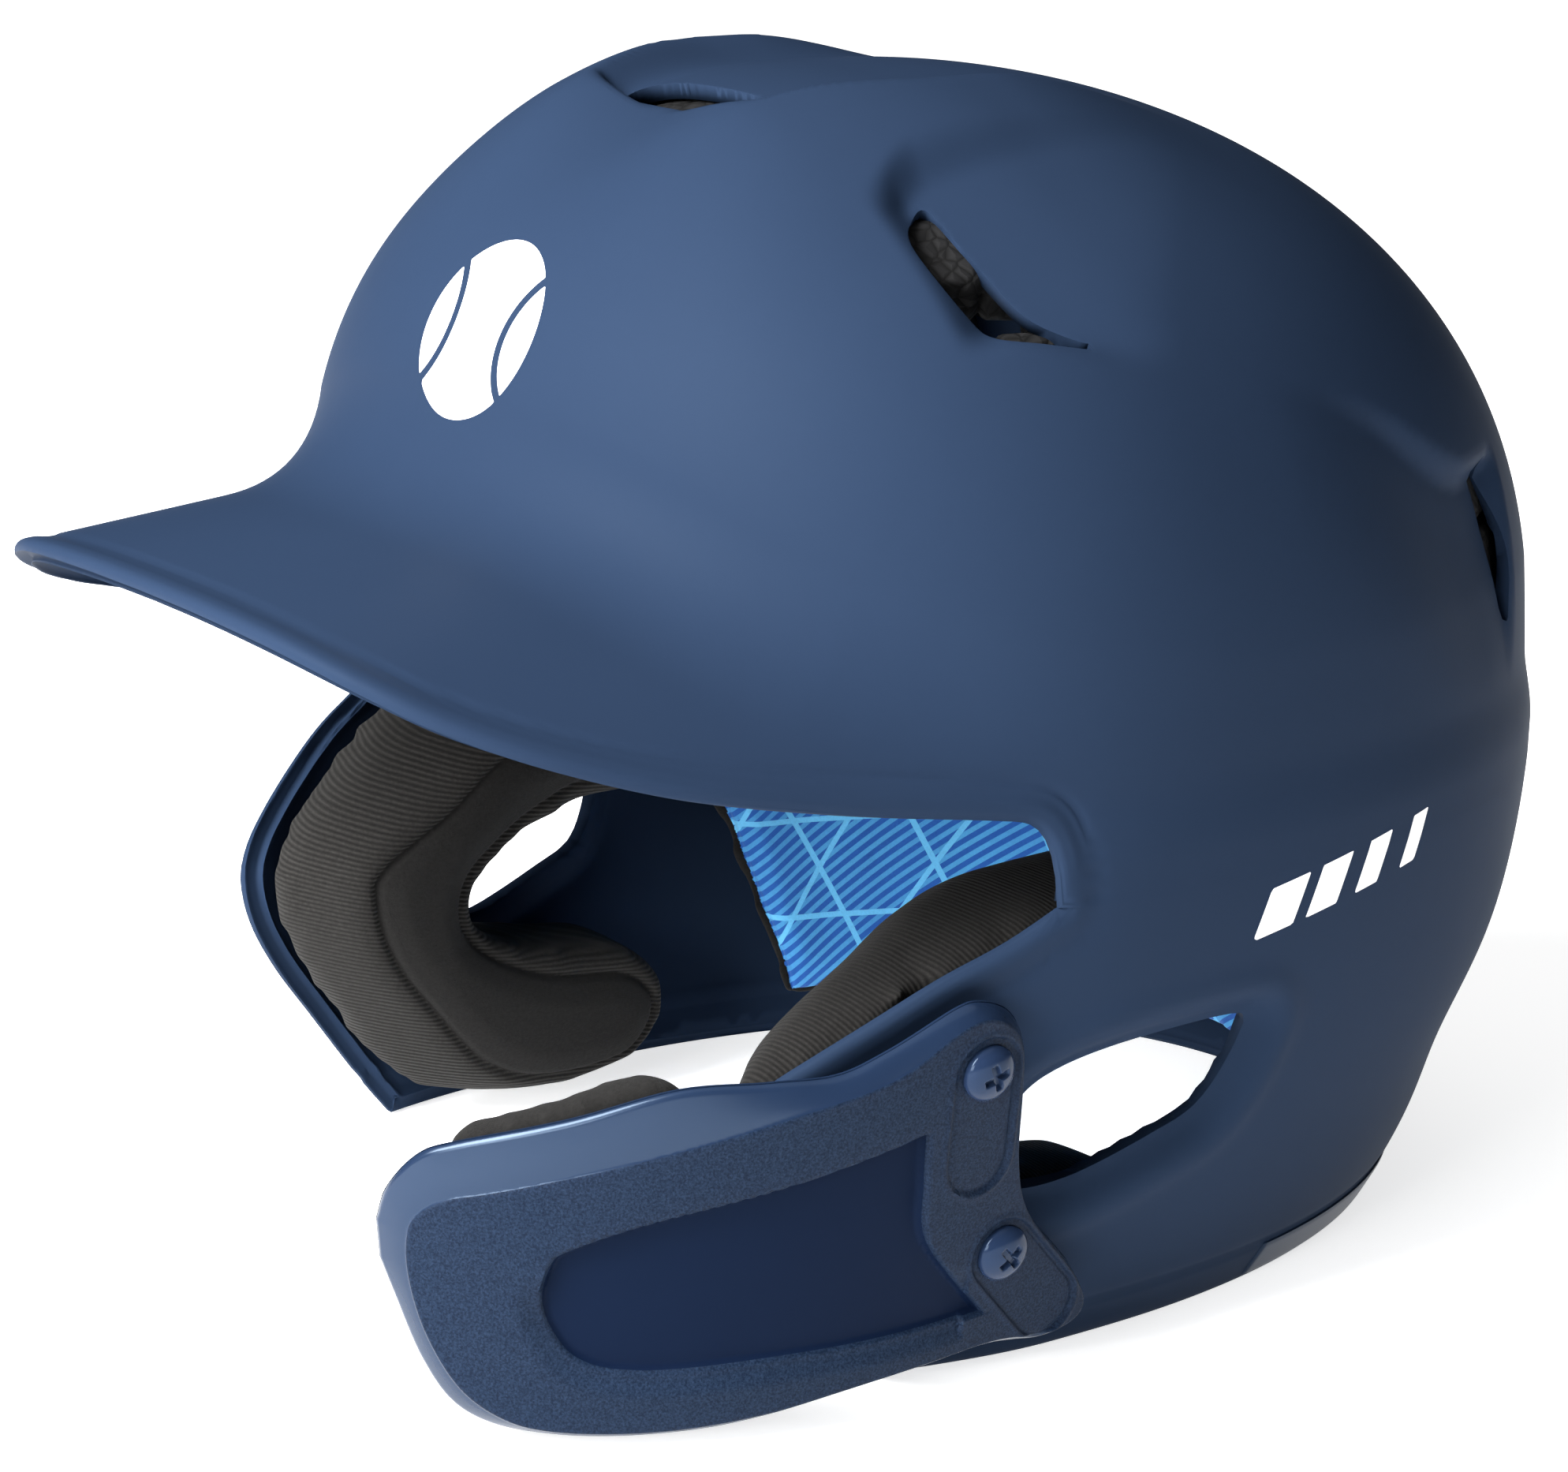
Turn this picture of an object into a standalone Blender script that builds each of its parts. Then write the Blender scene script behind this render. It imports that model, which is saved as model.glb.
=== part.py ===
"""Batting helmet with a jaw guard, as an assembly of separate pieces.

Frame: metres, +Z up, -Y towards the brim's tip, +X towards the wearer's left.
Z = 0 is the plane of the bottom rim, which the helmet stands on, and the origin is
midway along the whole's length and width.
"""

import math

import bmesh
import bpy
import numpy as np
from mathutils import Matrix, Vector

# ---- Driving dimensions of the shell ----
HALF_WIDTH = 0.1139
FRONT_LENGTH = 0.0998
BACK_LENGTH = 0.1294
WIDEST_Z = 0.1202
CROWN_Z = 0.2225
CROWN_POWER = 2.22
SECTION_POWER = 2.26
BACK_POWER = 2.20
CENTRE_Y = 0.0181
CHEEK_LENGTH = 0.150
CHEEK_TOP_Z = 0.125
CHEEK_LOW_Z = 0.085
RIM_HALF_WIDTH = 0.0861
RIM_FRONT = 0.115
RIM_BACK = 0.1238
RIM_CENTRE_Y = 0.002
RIM_POWER = 2.35
RIM_BACK_POWER = 2.22
WAIST_Z = 0.036
WAIST_DEPTH = 0.005
WAIST_REACH = 0.016
SHELL_THICKNESS = 0.003
RIM_TRIM = 0.005  # the sheet runs this far below Z = 0 before it is cut flat
MIDDLE_Y = 0.00413  # middle of the length, brim's tip to nape, before everything is centred

# ---- Central spine along the crown ----
SPINE_RISE = 0.0052
SPINE_HALF_WIDTH = 0.078
SPINE_FRONT_Y = -0.064
SPINE_BACK_Y = 0.066
SPINE_FADE = 0.045

# ---- Brim and face opening ----
BRIM_OUTLINE = (
    (0.0000, -0.1405, 0.1412),
    (0.0200, -0.1407, 0.1411),
    (0.0400, -0.1400, 0.1401),
    (0.0520, -0.1376, 0.1380),
    (0.0625, -0.1330, 0.1345),
    (0.0725, -0.1250, 0.1295),
    (0.0825, -0.1112, 0.1235),
    (0.0915, -0.0910, 0.1170),
    (0.0985, -0.0660, 0.1115),
    (0.1035, -0.0430, 0.1075),
    (0.1060, -0.0258, 0.1050),
)
NOTCH_Z = 0.091
NOTCH_START = 0.93
VALLEY_SIDE_Z = 0.110
VALLEY_RISE = 0.040
VALLEY_POWER = 1.7
VALLEY_FILLET = 0.020
FLAP_OUTLINE = (
    (-0.0245, 0.0910),
    (-0.0340, 0.0852),
    (-0.0450, 0.0797),
    (-0.0550, 0.0733),
    (-0.0650, 0.0662),
    (-0.0710, 0.0610),
    (-0.0742, 0.0550),
    (-0.0730, 0.0460),
    (-0.0675, 0.0355),
    (-0.0585, 0.0230),
    (-0.0476, 0.0074),
    (-0.0420, 0.0000),
)

# ---- Ear holes and vents ----
EAR_HOLE = (
    (-0.027, 0.049),
    (-0.021, 0.057),
    (-0.006, 0.0615),
    (0.020, 0.0625),
    (0.0225, 0.058),
    (0.0165, 0.0455),
    (0.006, 0.0405),
    (-0.012, 0.0350),
    (-0.024, 0.0350),
    (-0.029, 0.0410),
)
TOP_VENT = ((0.0, -0.0252), (0.038, 0.0115))
SIDE_VENT_START = (0.0635, -0.0225, 0.2040)
SIDE_VENT_END = (0.0915, -0.0105, 0.1855)
SIDE_VENT_WIDTH = 0.009
REAR_VENT = (0.096, 0.089, 0.137)
REAR_VENT_SIZE = (0.007, 0.032)

# ---- Rear edge trim ----
TRIM_START_Y = 0.043
TRIM_HEIGHT = 0.0075
TRIM_THICKNESS = 0.0018
CLEARANCE = 0.0004

# ---- Energy liner and comfort pads: depth under the shell's outer face ----
FOAM_DEPTH = SHELL_THICKNESS + 0.0008
GAP = 0.0006
FOAM_TOP_Z = 0.188
CROWN_FOAM_EDGE_Z = 0.196
CROWN_PAD_EDGE_Z = 0.205
CROWN_PAD_SCALLOP = 0.35
FRONT_FOAM = 0.008
REAR_FOAM = 0.010
SIDE_FOAM = 0.017
CROWN_FOAM = 0.012
FOREHEAD_PAD = 0.005
REAR_PAD = 0.007
SIDE_PAD = 0.006
CROWN_PAD = 0.006
CURVE_GAP = 0.0008  # extra gap between curved pieces whose facets differ
CROWN_GAP = 0.0018

# ---- Ear pads ----
EAR_PAD_OUTLINE = (
    (-0.0190, 0.0830),
    (-0.0400, 0.0710),
    (-0.0560, 0.0610),
    (-0.0585, 0.0520),
    (-0.0540, 0.0380),
    (-0.0420, 0.0220),
    (-0.0300, 0.0100),
    (-0.0140, 0.0040),
    (0.0060, 0.0050),
    (0.0150, 0.0130),
    (0.0150, 0.0230),
    (0.0060, 0.0300),
    (-0.0120, 0.0330),
    (-0.0270, 0.0400),
    (-0.0320, 0.0480),
    (-0.0260, 0.0560),
    (-0.0060, 0.0660),
    (0.0260, 0.0690),
    (0.0340, 0.0760),
    (0.0280, 0.0850),
)
EAR_PAD_ON_SHELL = (
    (-0.0190, 0.0890),
    (-0.0400, 0.0795),
    (-0.0590, 0.0680),
    (-0.0712, 0.0560),
    (-0.0672, 0.0390),
    (-0.0560, 0.0225),
    (-0.0460, 0.0085),
    (-0.0280, 0.0030),
    (0.0050, 0.0045),
    (0.0160, 0.0120),
    (0.0160, 0.0240),
    (0.0060, 0.0300),
    (-0.0120, 0.0330),
    (-0.0285, 0.0398),
    (-0.0330, 0.0480),
    (-0.0270, 0.0570),
    (-0.0060, 0.0668),
    (0.0260, 0.0690),
    (0.0340, 0.0775),
    (0.0280, 0.0890),
)
EAR_PAD_SHELL_X = 0.078
LEFT_PAD_INNER_X = 0.067
RIGHT_PAD_INNER_X = 0.064
EAR_PAD_DEPTH = 0.0060

# ---- Jaw guard: a plate bent round the cheek, in its own leaning frame ----
GUARD_LEAN = math.radians(9.0)
GUARD_SCREW = (0.1100, -0.0400, 0.0650)  # upper screw's centre on the plate's outer face
GUARD_THICKNESS = 0.0036
GUARD_FLAT = -0.0026
GUARD_BEND_RADIUS = 0.108
LOWER_SCREW = (-0.0089, -0.0368)  # forward and up from the upper screw
GUARD_TOP = (
    (-0.0320, -0.0515),
    (-0.0268, -0.0438),
    (-0.0150, -0.0304),
    (-0.0113, -0.0192),
    (-0.0100, -0.0060),
    (-0.0087, 0.0037),
    (-0.0050, 0.0095),
    (0.0010, 0.0122),
    (0.0067, 0.0117),
    (0.0191, 0.0055),
    (0.0282, 0.0018),
    (0.0400, 0.0008),
    (0.0560, -0.0010),
    (0.0738, -0.0083),
    (0.0929, -0.0160),
    (0.1000, -0.0202),
    (0.1050, -0.0275),
    (0.1065, -0.0340),
)
GUARD_BOTTOM = (
    (-0.0308, -0.0560),
    (-0.0221, -0.0580),
    (-0.0097, -0.0565),
    (-0.0030, -0.0567),
    (0.0050, -0.0575),
    (0.0120, -0.0583),
    (0.0200, -0.0597),
    (0.0270, -0.0612),
    (0.0348, -0.0632),
    (0.0430, -0.0650),
    (0.0529, -0.0665),
    (0.0620, -0.0676),
    (0.0709, -0.0682),
    (0.0818, -0.0680),
    (0.0896, -0.0650),
    (0.0959, -0.0578),
    (0.1016, -0.0476),
    (0.1052, -0.0410),
)
SLOT_WIDTH = 0.0062
GUARD_PIVOT = -0.0495  # the guard swings about this place, level with and behind the upper screw
GUARD_TRAVEL = math.radians(18.5)
GUARD_PAD_THICKNESS = 0.009
GUARD_PAD_HEIGHT = 0.036
GUARD_PAD_AHEAD = (0.052, 0.096)
GUARD_PAD_TOP = (0.0040, -0.0165)

# ---- Guard hardware ----
SCREW_HEAD_RADIUS = 0.0053
SCREW_HEAD_HEIGHT = 0.0026
SCREW_RADIUS = 0.0023
SPACER_RADIUS = 0.0065
NUT_FLANGE_RADIUS = 0.0075
NUT_FLANGE_THICKNESS = 0.0012
NUT_BARREL_RADIUS = 0.0036
BORE_RADIUS = 0.0026
SPACER_LIFT = 0.0030  # the flap's face leans, so the spacer stops short of it
FLANGE_DROP = 0.0036

COLUMNS_FRONT = 12
COLUMNS_SIDE = 18
DOME_ROWS = 7
FILLET_ROWS = 4
BRIM_ROWS = 3
FLAP_ROWS = 8
FLAP_COLUMNS = 5


# ---- Scene ----
def clear_scene():
    for item in list(bpy.data.objects):
        bpy.data.objects.remove(item, do_unlink=True)


def new_collection(name):
    collection = bpy.data.collections.new(name)
    bpy.context.scene.collection.children.link(collection)
    return collection


clear_scene()
PARTS = new_collection("batting_helmet")
CUTTERS = new_collection("cutters")


def material(name, colour, roughness, metallic=0.0):
    made = bpy.data.materials.new(name)
    made.use_nodes = True
    surface = made.node_tree.nodes["Principled BSDF"]
    surface.inputs["Base Color"].default_value = (*colour, 1.0)
    surface.inputs["Roughness"].default_value = roughness
    surface.inputs["Metallic"].default_value = metallic
    return made


SHELL_NAVY = material("shell_navy", (0.032, 0.064, 0.125), 0.42)
TRIM_NAVY = material("trim_navy", (0.026, 0.052, 0.105), 0.5)
FOAM_BLACK = material("foam_black", (0.018, 0.018, 0.019), 0.9)
PAD_BLACK = material("pad_black", (0.022, 0.022, 0.022), 0.95)
LINER_BLUE = material("liner_blue", (0.08, 0.35, 0.68), 0.85)
GUARD_NAVY = material("guard_navy", (0.035, 0.070, 0.130), 0.35)
SCREW_STEEL = material("screw_steel", (0.05, 0.08, 0.13), 0.18, 0.6)
SPACER_RUBBER = material("spacer_rubber", (0.02, 0.02, 0.02), 0.8)
NUT_STEEL = material("nut_steel", (0.55, 0.55, 0.56), 0.3, 1.0)


def add_object(name, mesh, finish=None):
    """A part when it has a finish, or else a hidden cutter."""
    made = bpy.data.objects.new(name, mesh)
    if finish is None:
        CUTTERS.objects.link(made)
        made.hide_render = True
        made.display_type = "WIRE"
    else:
        PARTS.objects.link(made)
        mesh.materials.append(finish)
    return made


def smooth(made):
    made.data.shade_smooth()
    made.data.set_sharp_from_angle(angle=math.radians(40))


def boolean(made, cutter, operation="DIFFERENCE"):
    modifier = made.modifiers.new(cutter.name, "BOOLEAN")
    modifier.object = cutter
    modifier.operation = operation
    modifier.solver = "EXACT"


# ---- The shell's outer surface ----
def fade(value, low, high):
    """0 below low, 1 above high, and a smooth step between."""
    t = min(max((value - low) / (high - low), 0.0), 1.0)
    return t * t * (3.0 - 2.0 * t)


def section(z, depth=0.0):
    """Half width, front and back lengths, centre and both powers of the section at height z,
    for the surface that lies the given depth inside the outer one."""
    crown = CROWN_Z - depth
    q = min(max((z - WIDEST_Z) / (crown - WIDEST_Z), 0.0), 1.0)
    scale = (1.0 - q**CROWN_POWER) ** (1.0 / CROWN_POWER)
    w = min(max((WIDEST_Z - z) / WIDEST_Z, 0.0), 1.3) ** 2
    cheek = 1.0 - fade(z, CHEEK_LOW_Z, CHEEK_TOP_Z)
    front = FRONT_LENGTH + (CHEEK_LENGTH - FRONT_LENGTH) * cheek
    waist = WAIST_DEPTH * math.exp(-(((z - WAIST_Z) / WAIST_REACH) ** 2))
    return (
        (HALF_WIDTH - depth) * scale * (1 - w) + (RIM_HALF_WIDTH - depth) * w,
        (front - depth) * scale * (1 - w) + (RIM_FRONT - depth) * w,
        (BACK_LENGTH - depth) * scale * (1 - w) + (RIM_BACK - depth) * w - waist,
        (CENTRE_Y - 0.1 * (z - WIDEST_Z)) * (1 - w) + RIM_CENTRE_Y * w,
        SECTION_POWER * (1 - w) + RIM_POWER * w,
        BACK_POWER * (1 - w) + RIM_BACK_POWER * w,
    )


def wall_point(phi, z, depth=0.0):
    """The point of the wall at plan angle phi, 0 at the front and pi at the back."""
    width, front, back, centre, front_power, back_power = section(z, depth)
    side, ahead = math.sin(phi), math.cos(phi)
    length, power = (front, front_power) if ahead > 0 else (back, back_power)
    x = math.copysign(width * abs(side) ** (2.0 / power), side)
    y = centre - math.copysign(length * abs(ahead) ** (2.0 / power), ahead)
    return Vector((x, y, z))


def wall_x(y, z, depth=0.0):
    """The wall's half width at a place seen from the side."""
    width, front, back, centre, front_power, back_power = section(z, depth)
    length, power = (front, front_power) if y < centre else (back, back_power)
    share = min(abs(y - centre) / length, 1.0)
    return width * (1.0 - share**power) ** (1.0 / power)


def wall_angle(y, z):
    """The plan angle of the wall point at this y and z."""
    _, front, back, centre, front_power, back_power = section(z)
    length, power = (front, front_power) if y < centre else (back, back_power)
    share = min(abs(y - centre) / length, 1.0) ** (power / 2.0)
    angle = math.acos(share)
    return angle if y < centre else math.pi - angle


def dome_point(phi, tilt, depth=0.0):
    """A point over the widest section: tilt is 0 at the crown and pi / 2 at the widest section."""
    z = WIDEST_Z + (CROWN_Z - depth - WIDEST_Z) * math.cos(tilt) ** (2.0 / CROWN_POWER)
    return wall_point(phi, z, depth)


def tilt_at(z):
    share = min(max((z - WIDEST_Z) / (CROWN_Z - WIDEST_Z), 0.0), 1.0)
    return math.acos(share ** (CROWN_POWER / 2.0))


def raise_spine(point):
    """The raised channel that runs over the crown from front to back."""
    across = 1.0 - fade(abs(point.x), 0.4 * SPINE_HALF_WIDTH, SPINE_HALF_WIDTH)
    along = fade(point.y, SPINE_FRONT_Y, SPINE_FRONT_Y + SPINE_FADE)
    along *= 1.0 - fade(point.y, SPINE_BACK_Y - SPINE_FADE, SPINE_BACK_Y)
    return point + Vector((0.0, 0.0, SPINE_RISE * across * along))


NOTCH_ANGLE = wall_angle(FLAP_OUTLINE[0][0], NOTCH_Z)


def valley_z(phi):
    """Height of the valley between the dome and the brim, or the ledge along the side."""
    return VALLEY_SIDE_Z + VALLEY_RISE * max(math.cos(phi), 0.0) ** VALLEY_POWER


def brim_edge(phi):
    """The brim's edge in the plan direction phi, from its tip to the notch."""
    share = min(phi / NOTCH_ANGLE, 1.0)
    at = np.linspace(0.0, 1.0, len(BRIM_CURVE))
    place = Vector([np.interp(share, at, BRIM_CURVE[:, k]) for k in range(3)])
    turn = max((share - NOTCH_START) / (1.0 - NOTCH_START), 0.0) ** 3
    place.z += (NOTCH_Z - BRIM_OUTLINE[-1][2]) * turn
    corner = wall_point(NOTCH_ANGLE, NOTCH_Z)
    return place.lerp(Vector((corner.x, corner.y, place.z)), share**12)


def brim_column(phi):
    """Points down one column of the dome: crown side first, then valley and brim."""
    valley = valley_z(phi)
    start_z = valley + VALLEY_FILLET
    last_tilt = tilt_at(start_z)
    points = []
    for row in range(1, DOME_ROWS + 1):
        points.append(raise_spine(dome_point(phi, last_tilt * row / DOME_ROWS)))
    start = wall_point(phi, start_z)
    bend = wall_point(phi, valley)
    edge = brim_edge(phi) if phi < NOTCH_ANGLE else wall_point(phi, NOTCH_Z)
    reach = (edge - bend).length
    end = bend + (edge - bend) * min(0.5, VALLEY_FILLET / reach)
    for row in range(1, FILLET_ROWS + 1):
        t = row / FILLET_ROWS
        points.append(start * (1 - t) ** 2 + bend * 2 * t * (1 - t) + end * t * t)
    for row in range(1, BRIM_ROWS + 1):
        points.append(end.lerp(edge, row / BRIM_ROWS))
    return points


def smooth_path(points, count):
    """count + 1 points evenly spread along a Catmull-Rom curve through the given points."""
    given = np.array(points, dtype=float)
    padded = np.vstack([2 * given[0] - given[1], given, 2 * given[-1] - given[-2]])
    dense = []
    for i in range(len(given) - 1):
        a, b, c, d = padded[i : i + 4]
        for t in np.linspace(0.0, 1.0, 24, endpoint=False):
            dense.append(
                0.5
                * (2 * b + (c - a) * t + (2 * a - 5 * b + 4 * c - d) * t**2 + (3 * b - a - 3 * c + d) * t**3)
            )
    dense.append(given[-1])
    dense = np.array(dense)
    along = np.concatenate([[0.0], np.cumsum(np.linalg.norm(np.diff(dense, axis=0), axis=1))])
    at = np.linspace(0.0, along[-1], count + 1)
    return np.stack([np.interp(at, along, dense[:, k]) for k in range(given.shape[1])], axis=1)


BRIM_CURVE = smooth_path(BRIM_OUTLINE, 160)


def shell_half():
    """The half of the sheet with x >= 0, open at x = 0: dome and brim above the notch,
    and the side wall with its ear flap below it."""
    mesh = bmesh.new()
    step_front = NOTCH_ANGLE / COLUMNS_FRONT
    step_side = (math.pi - NOTCH_ANGLE) / COLUMNS_SIDE
    angles = [step_front * j for j in range(COLUMNS_FRONT)]
    angles += [NOTCH_ANGLE + step_side * j for j in range(COLUMNS_SIDE + 1)]
    pole = mesh.verts.new(raise_spine(Vector((0.0, section(CROWN_Z)[3], CROWN_Z))))
    upper = [[mesh.verts.new(point) for point in brim_column(phi)] for phi in angles]
    for column in (upper[0], upper[-1]):
        for vertex in column:
            vertex.co.x = 0.0
    for left, right in zip(upper, upper[1:]):
        mesh.faces.new((pole, left[0], right[0]))
        for i in range(len(left) - 1):
            mesh.faces.new((left[i], left[i + 1], right[i + 1], right[i]))

    levels = [NOTCH_Z - (NOTCH_Z + RIM_TRIM) * k / FLAP_ROWS for k in range(1, FLAP_ROWS + 1)]
    lower = []
    for j in range(COLUMNS_SIDE + 1):
        column = [upper[COLUMNS_FRONT + j][-1]]
        for z in levels:
            first = wall_angle(FLAP_OUTLINE[0][0], z)
            column.append(mesh.verts.new(wall_point(first + (math.pi - first) * j / COLUMNS_SIDE, z)))
        lower.append(column)
    for vertex in lower[-1]:
        vertex.co.x = 0.0
    for left, right in zip(lower, lower[1:]):
        for i in range(FLAP_ROWS):
            mesh.faces.new((left[i], left[i + 1], right[i + 1], right[i]))

    outline = smooth_path(FLAP_OUTLINE, FLAP_ROWS)
    behind = lower[0]
    for step in range(1, FLAP_COLUMNS + 1):
        share = step / FLAP_COLUMNS
        ahead = [behind[0]]
        for k in range(1, FLAP_ROWS + 1):
            root = lower[0][k].co
            y = root.y + (outline[k][0] - root.y) * share
            z = root.z + (outline[k][1] - root.z) * share
            ahead.append(mesh.verts.new((wall_x(y, z), y, z)))
        for i in range(FLAP_ROWS):
            corners = [ahead[i], ahead[i + 1], behind[i + 1], behind[i]]
            if i == 0:
                corners = corners[1:]
            mesh.faces.new(corners)
        behind = ahead
    bmesh.ops.recalc_face_normals(mesh, faces=mesh.faces)
    crown_face = max(mesh.faces, key=lambda face: face.calc_center_median().z)
    if crown_face.normal.z < 0:
        bmesh.ops.reverse_faces(mesh, faces=mesh.faces)
    data = bpy.data.meshes.new("shell")
    mesh.to_mesh(data)
    mesh.free()
    return data


# ---- Cutters ----
def plate_from_outline(name, outline, thickness, place, finish=None):
    """A flat outline in its own XY plane, given a thickness, and put in place as a mesh."""
    curve = bpy.data.curves.new(name, "CURVE")
    curve.dimensions = "2D"
    curve.fill_mode = "BOTH"
    curve.extrude = thickness / 2
    spline = curve.splines.new("POLY")
    spline.points.add(len(outline) - 1)
    for point, (u, v) in zip(spline.points, outline):
        point.co = (u, v, 0.0, 1.0)
    spline.use_cyclic_u = True
    drawn = bpy.data.objects.new(name + "_outline", curve)
    CUTTERS.objects.link(drawn)
    bpy.context.view_layer.update()
    evaluated = drawn.evaluated_get(bpy.context.evaluated_depsgraph_get())
    mesh = bpy.data.meshes.new_from_object(evaluated)
    bpy.data.objects.remove(drawn)
    welded = bmesh.new()
    welded.from_mesh(mesh)
    bmesh.ops.remove_doubles(welded, verts=welded.verts, dist=0.00001)
    bmesh.ops.triangulate(welded, faces=welded.faces)
    welded.to_mesh(mesh)
    welded.free()
    mesh.name = name
    made = add_object(name, mesh, finish)
    made.matrix_world = place
    return made


def side_plane(x):
    """Local X runs along +Y and local Y along +Z, as seen from the side at this x."""
    return Matrix.Translation((x, 0.0, 0.0)) @ Matrix(
        ((0, 0, 1, 0), (1, 0, 0, 0), (0, 1, 0, 0), (0, 0, 0, 1))
    )


def closed_curve(outline, per_point=3):
    """A closed Catmull-Rom curve through the outline's points."""
    given = np.array(outline, dtype=float)
    total = len(given)
    drawn = []
    for i in range(total):
        a, b, c, d = (given[(i + k) % total] for k in (-1, 0, 1, 2))
        for step in range(per_point):
            t = step / per_point
            drawn.append(
                0.5
                * (2 * b + (c - a) * t + (2 * a - 5 * b + 4 * c - d) * t**2 + (3 * b - a - 3 * c + d) * t**3)
            )
    return drawn


def stadium(length, width, steps=8):
    """A slot's outline along local X, centred on the origin."""
    radius = width / 2
    reach = length / 2 - radius
    outline = []
    for end in (1, -1):
        for step in range(steps + 1):
            angle = math.pi * (step / steps - 0.5)
            outline.append((end * (reach + radius * math.cos(angle)), end * radius * math.sin(angle)))
    return outline


def arc_slot(screw, width, steps=8):
    """A slot along the arc that a fixed screw follows in the swinging guard."""
    ahead, up = screw[0] - GUARD_PIVOT, screw[1]
    radius = math.hypot(ahead, up)
    first = math.atan2(up, ahead)
    slack = math.radians(1.0)
    outline = []
    for side, start, end in ((1, first + slack, first - GUARD_TRAVEL), (-1, first - GUARD_TRAVEL, first + slack)):
        for step in range(steps + 1):
            angle = start + (end - start) * step / steps
            reach = radius + side * width / 2
            outline.append((GUARD_PIVOT + reach * math.cos(angle), reach * math.sin(angle)))
        centre = (GUARD_PIVOT + radius * math.cos(end), radius * math.sin(end))
        outer = end if side > 0 else end + math.pi
        for step in range(1, 6):
            angle = outer - math.pi * step / 6
            outline.append((centre[0] + width / 2 * math.cos(angle), centre[1] + width / 2 * math.sin(angle)))
    return outline


def frame_matrix(origin, x_axis, z_axis):
    """A frame with local X and Z near the given directions."""
    z = Vector(z_axis).normalized()
    x = Vector(x_axis)
    x = (x - z * x.dot(z)).normalized()
    y = z.cross(x)
    rotation = Matrix((x, y, z)).transposed().to_4x4()
    return Matrix.Translation(origin) @ rotation


def outward(point):
    """Roughly the shell's outward direction at a point of the dome."""
    return Vector((point[0] / HALF_WIDTH**2, (point[1] - CENTRE_Y) / 0.115**2, (point[2] - WIDEST_Z) / 0.102**2))


# ---- Jaw guard frame ----
GUARD_NORMAL = Vector((math.cos(GUARD_LEAN), 0.0, -math.sin(GUARD_LEAN)))
GUARD_UP = Vector((math.sin(GUARD_LEAN), 0.0, math.cos(GUARD_LEAN)))
GUARD_AHEAD = Vector((0.0, -1.0, 0.0))


def guard_point(ahead, up, depth=0.0):
    """A place on the guard: distance ahead of and above the upper screw along the plate,
    and depth under its outer face."""
    if ahead < GUARD_FLAT:
        flat, inwards = ahead, 0.0
        facing = GUARD_NORMAL
    else:
        angle = (ahead - GUARD_FLAT) / GUARD_BEND_RADIUS
        flat = GUARD_FLAT + GUARD_BEND_RADIUS * math.sin(angle)
        inwards = GUARD_BEND_RADIUS * (1.0 - math.cos(angle))
        facing = GUARD_NORMAL * math.cos(angle) + GUARD_AHEAD * math.sin(angle)
    place = Vector(GUARD_SCREW) + GUARD_AHEAD * flat - GUARD_NORMAL * inwards + GUARD_UP * up
    return place - facing * depth


def grid_mesh(name, rows):
    """A sheet through a grid of points."""
    mesh = bmesh.new()
    verts = [[mesh.verts.new(point) for point in row] for row in rows]
    for first, second in zip(verts, verts[1:]):
        for i in range(len(first) - 1):
            mesh.faces.new((first[i], first[i + 1], second[i + 1], second[i]))
    data = bpy.data.meshes.new(name)
    mesh.to_mesh(data)
    mesh.free()
    return data


def thicken(made, thickness, offset=-1.0):
    solid = made.modifiers.new("thickness", "SOLIDIFY")
    solid.thickness = thickness
    solid.offset = offset
    solid.use_even_offset = True


def round_edges(made, width, segments=2, angle=50):
    bevel = made.modifiers.new("edges", "BEVEL")
    bevel.width = width
    bevel.segments = segments
    bevel.limit_method = "ANGLE"
    bevel.angle_limit = math.radians(angle)


# ---- Pieces ----
def hardware_places():
    """Each guard screw's name and its centre on the guard's outer face."""
    return (
        ("upper", guard_point(0.0, 0.0)),
        ("lower", guard_point(*LOWER_SCREW)),
    )


def turned(name, profile, place, finish=None, steps=20):
    """A profile of (radius, height) from top to bottom, turned about local Z."""
    mesh = bpy.data.meshes.new(name)
    verts = [(radius, 0.0, height) for radius, height in profile]
    mesh.from_pydata(verts, [(i, i + 1) for i in range(len(verts) - 1)], [])
    made = add_object(name, mesh, finish)
    screw = made.modifiers.new("turn", "SCREW")
    screw.steps = steps
    screw.render_steps = steps
    screw.use_merge_vertices = True
    screw.merge_threshold = 0.00009
    screw.use_smooth_shade = True
    made.matrix_world = place
    return made


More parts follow.
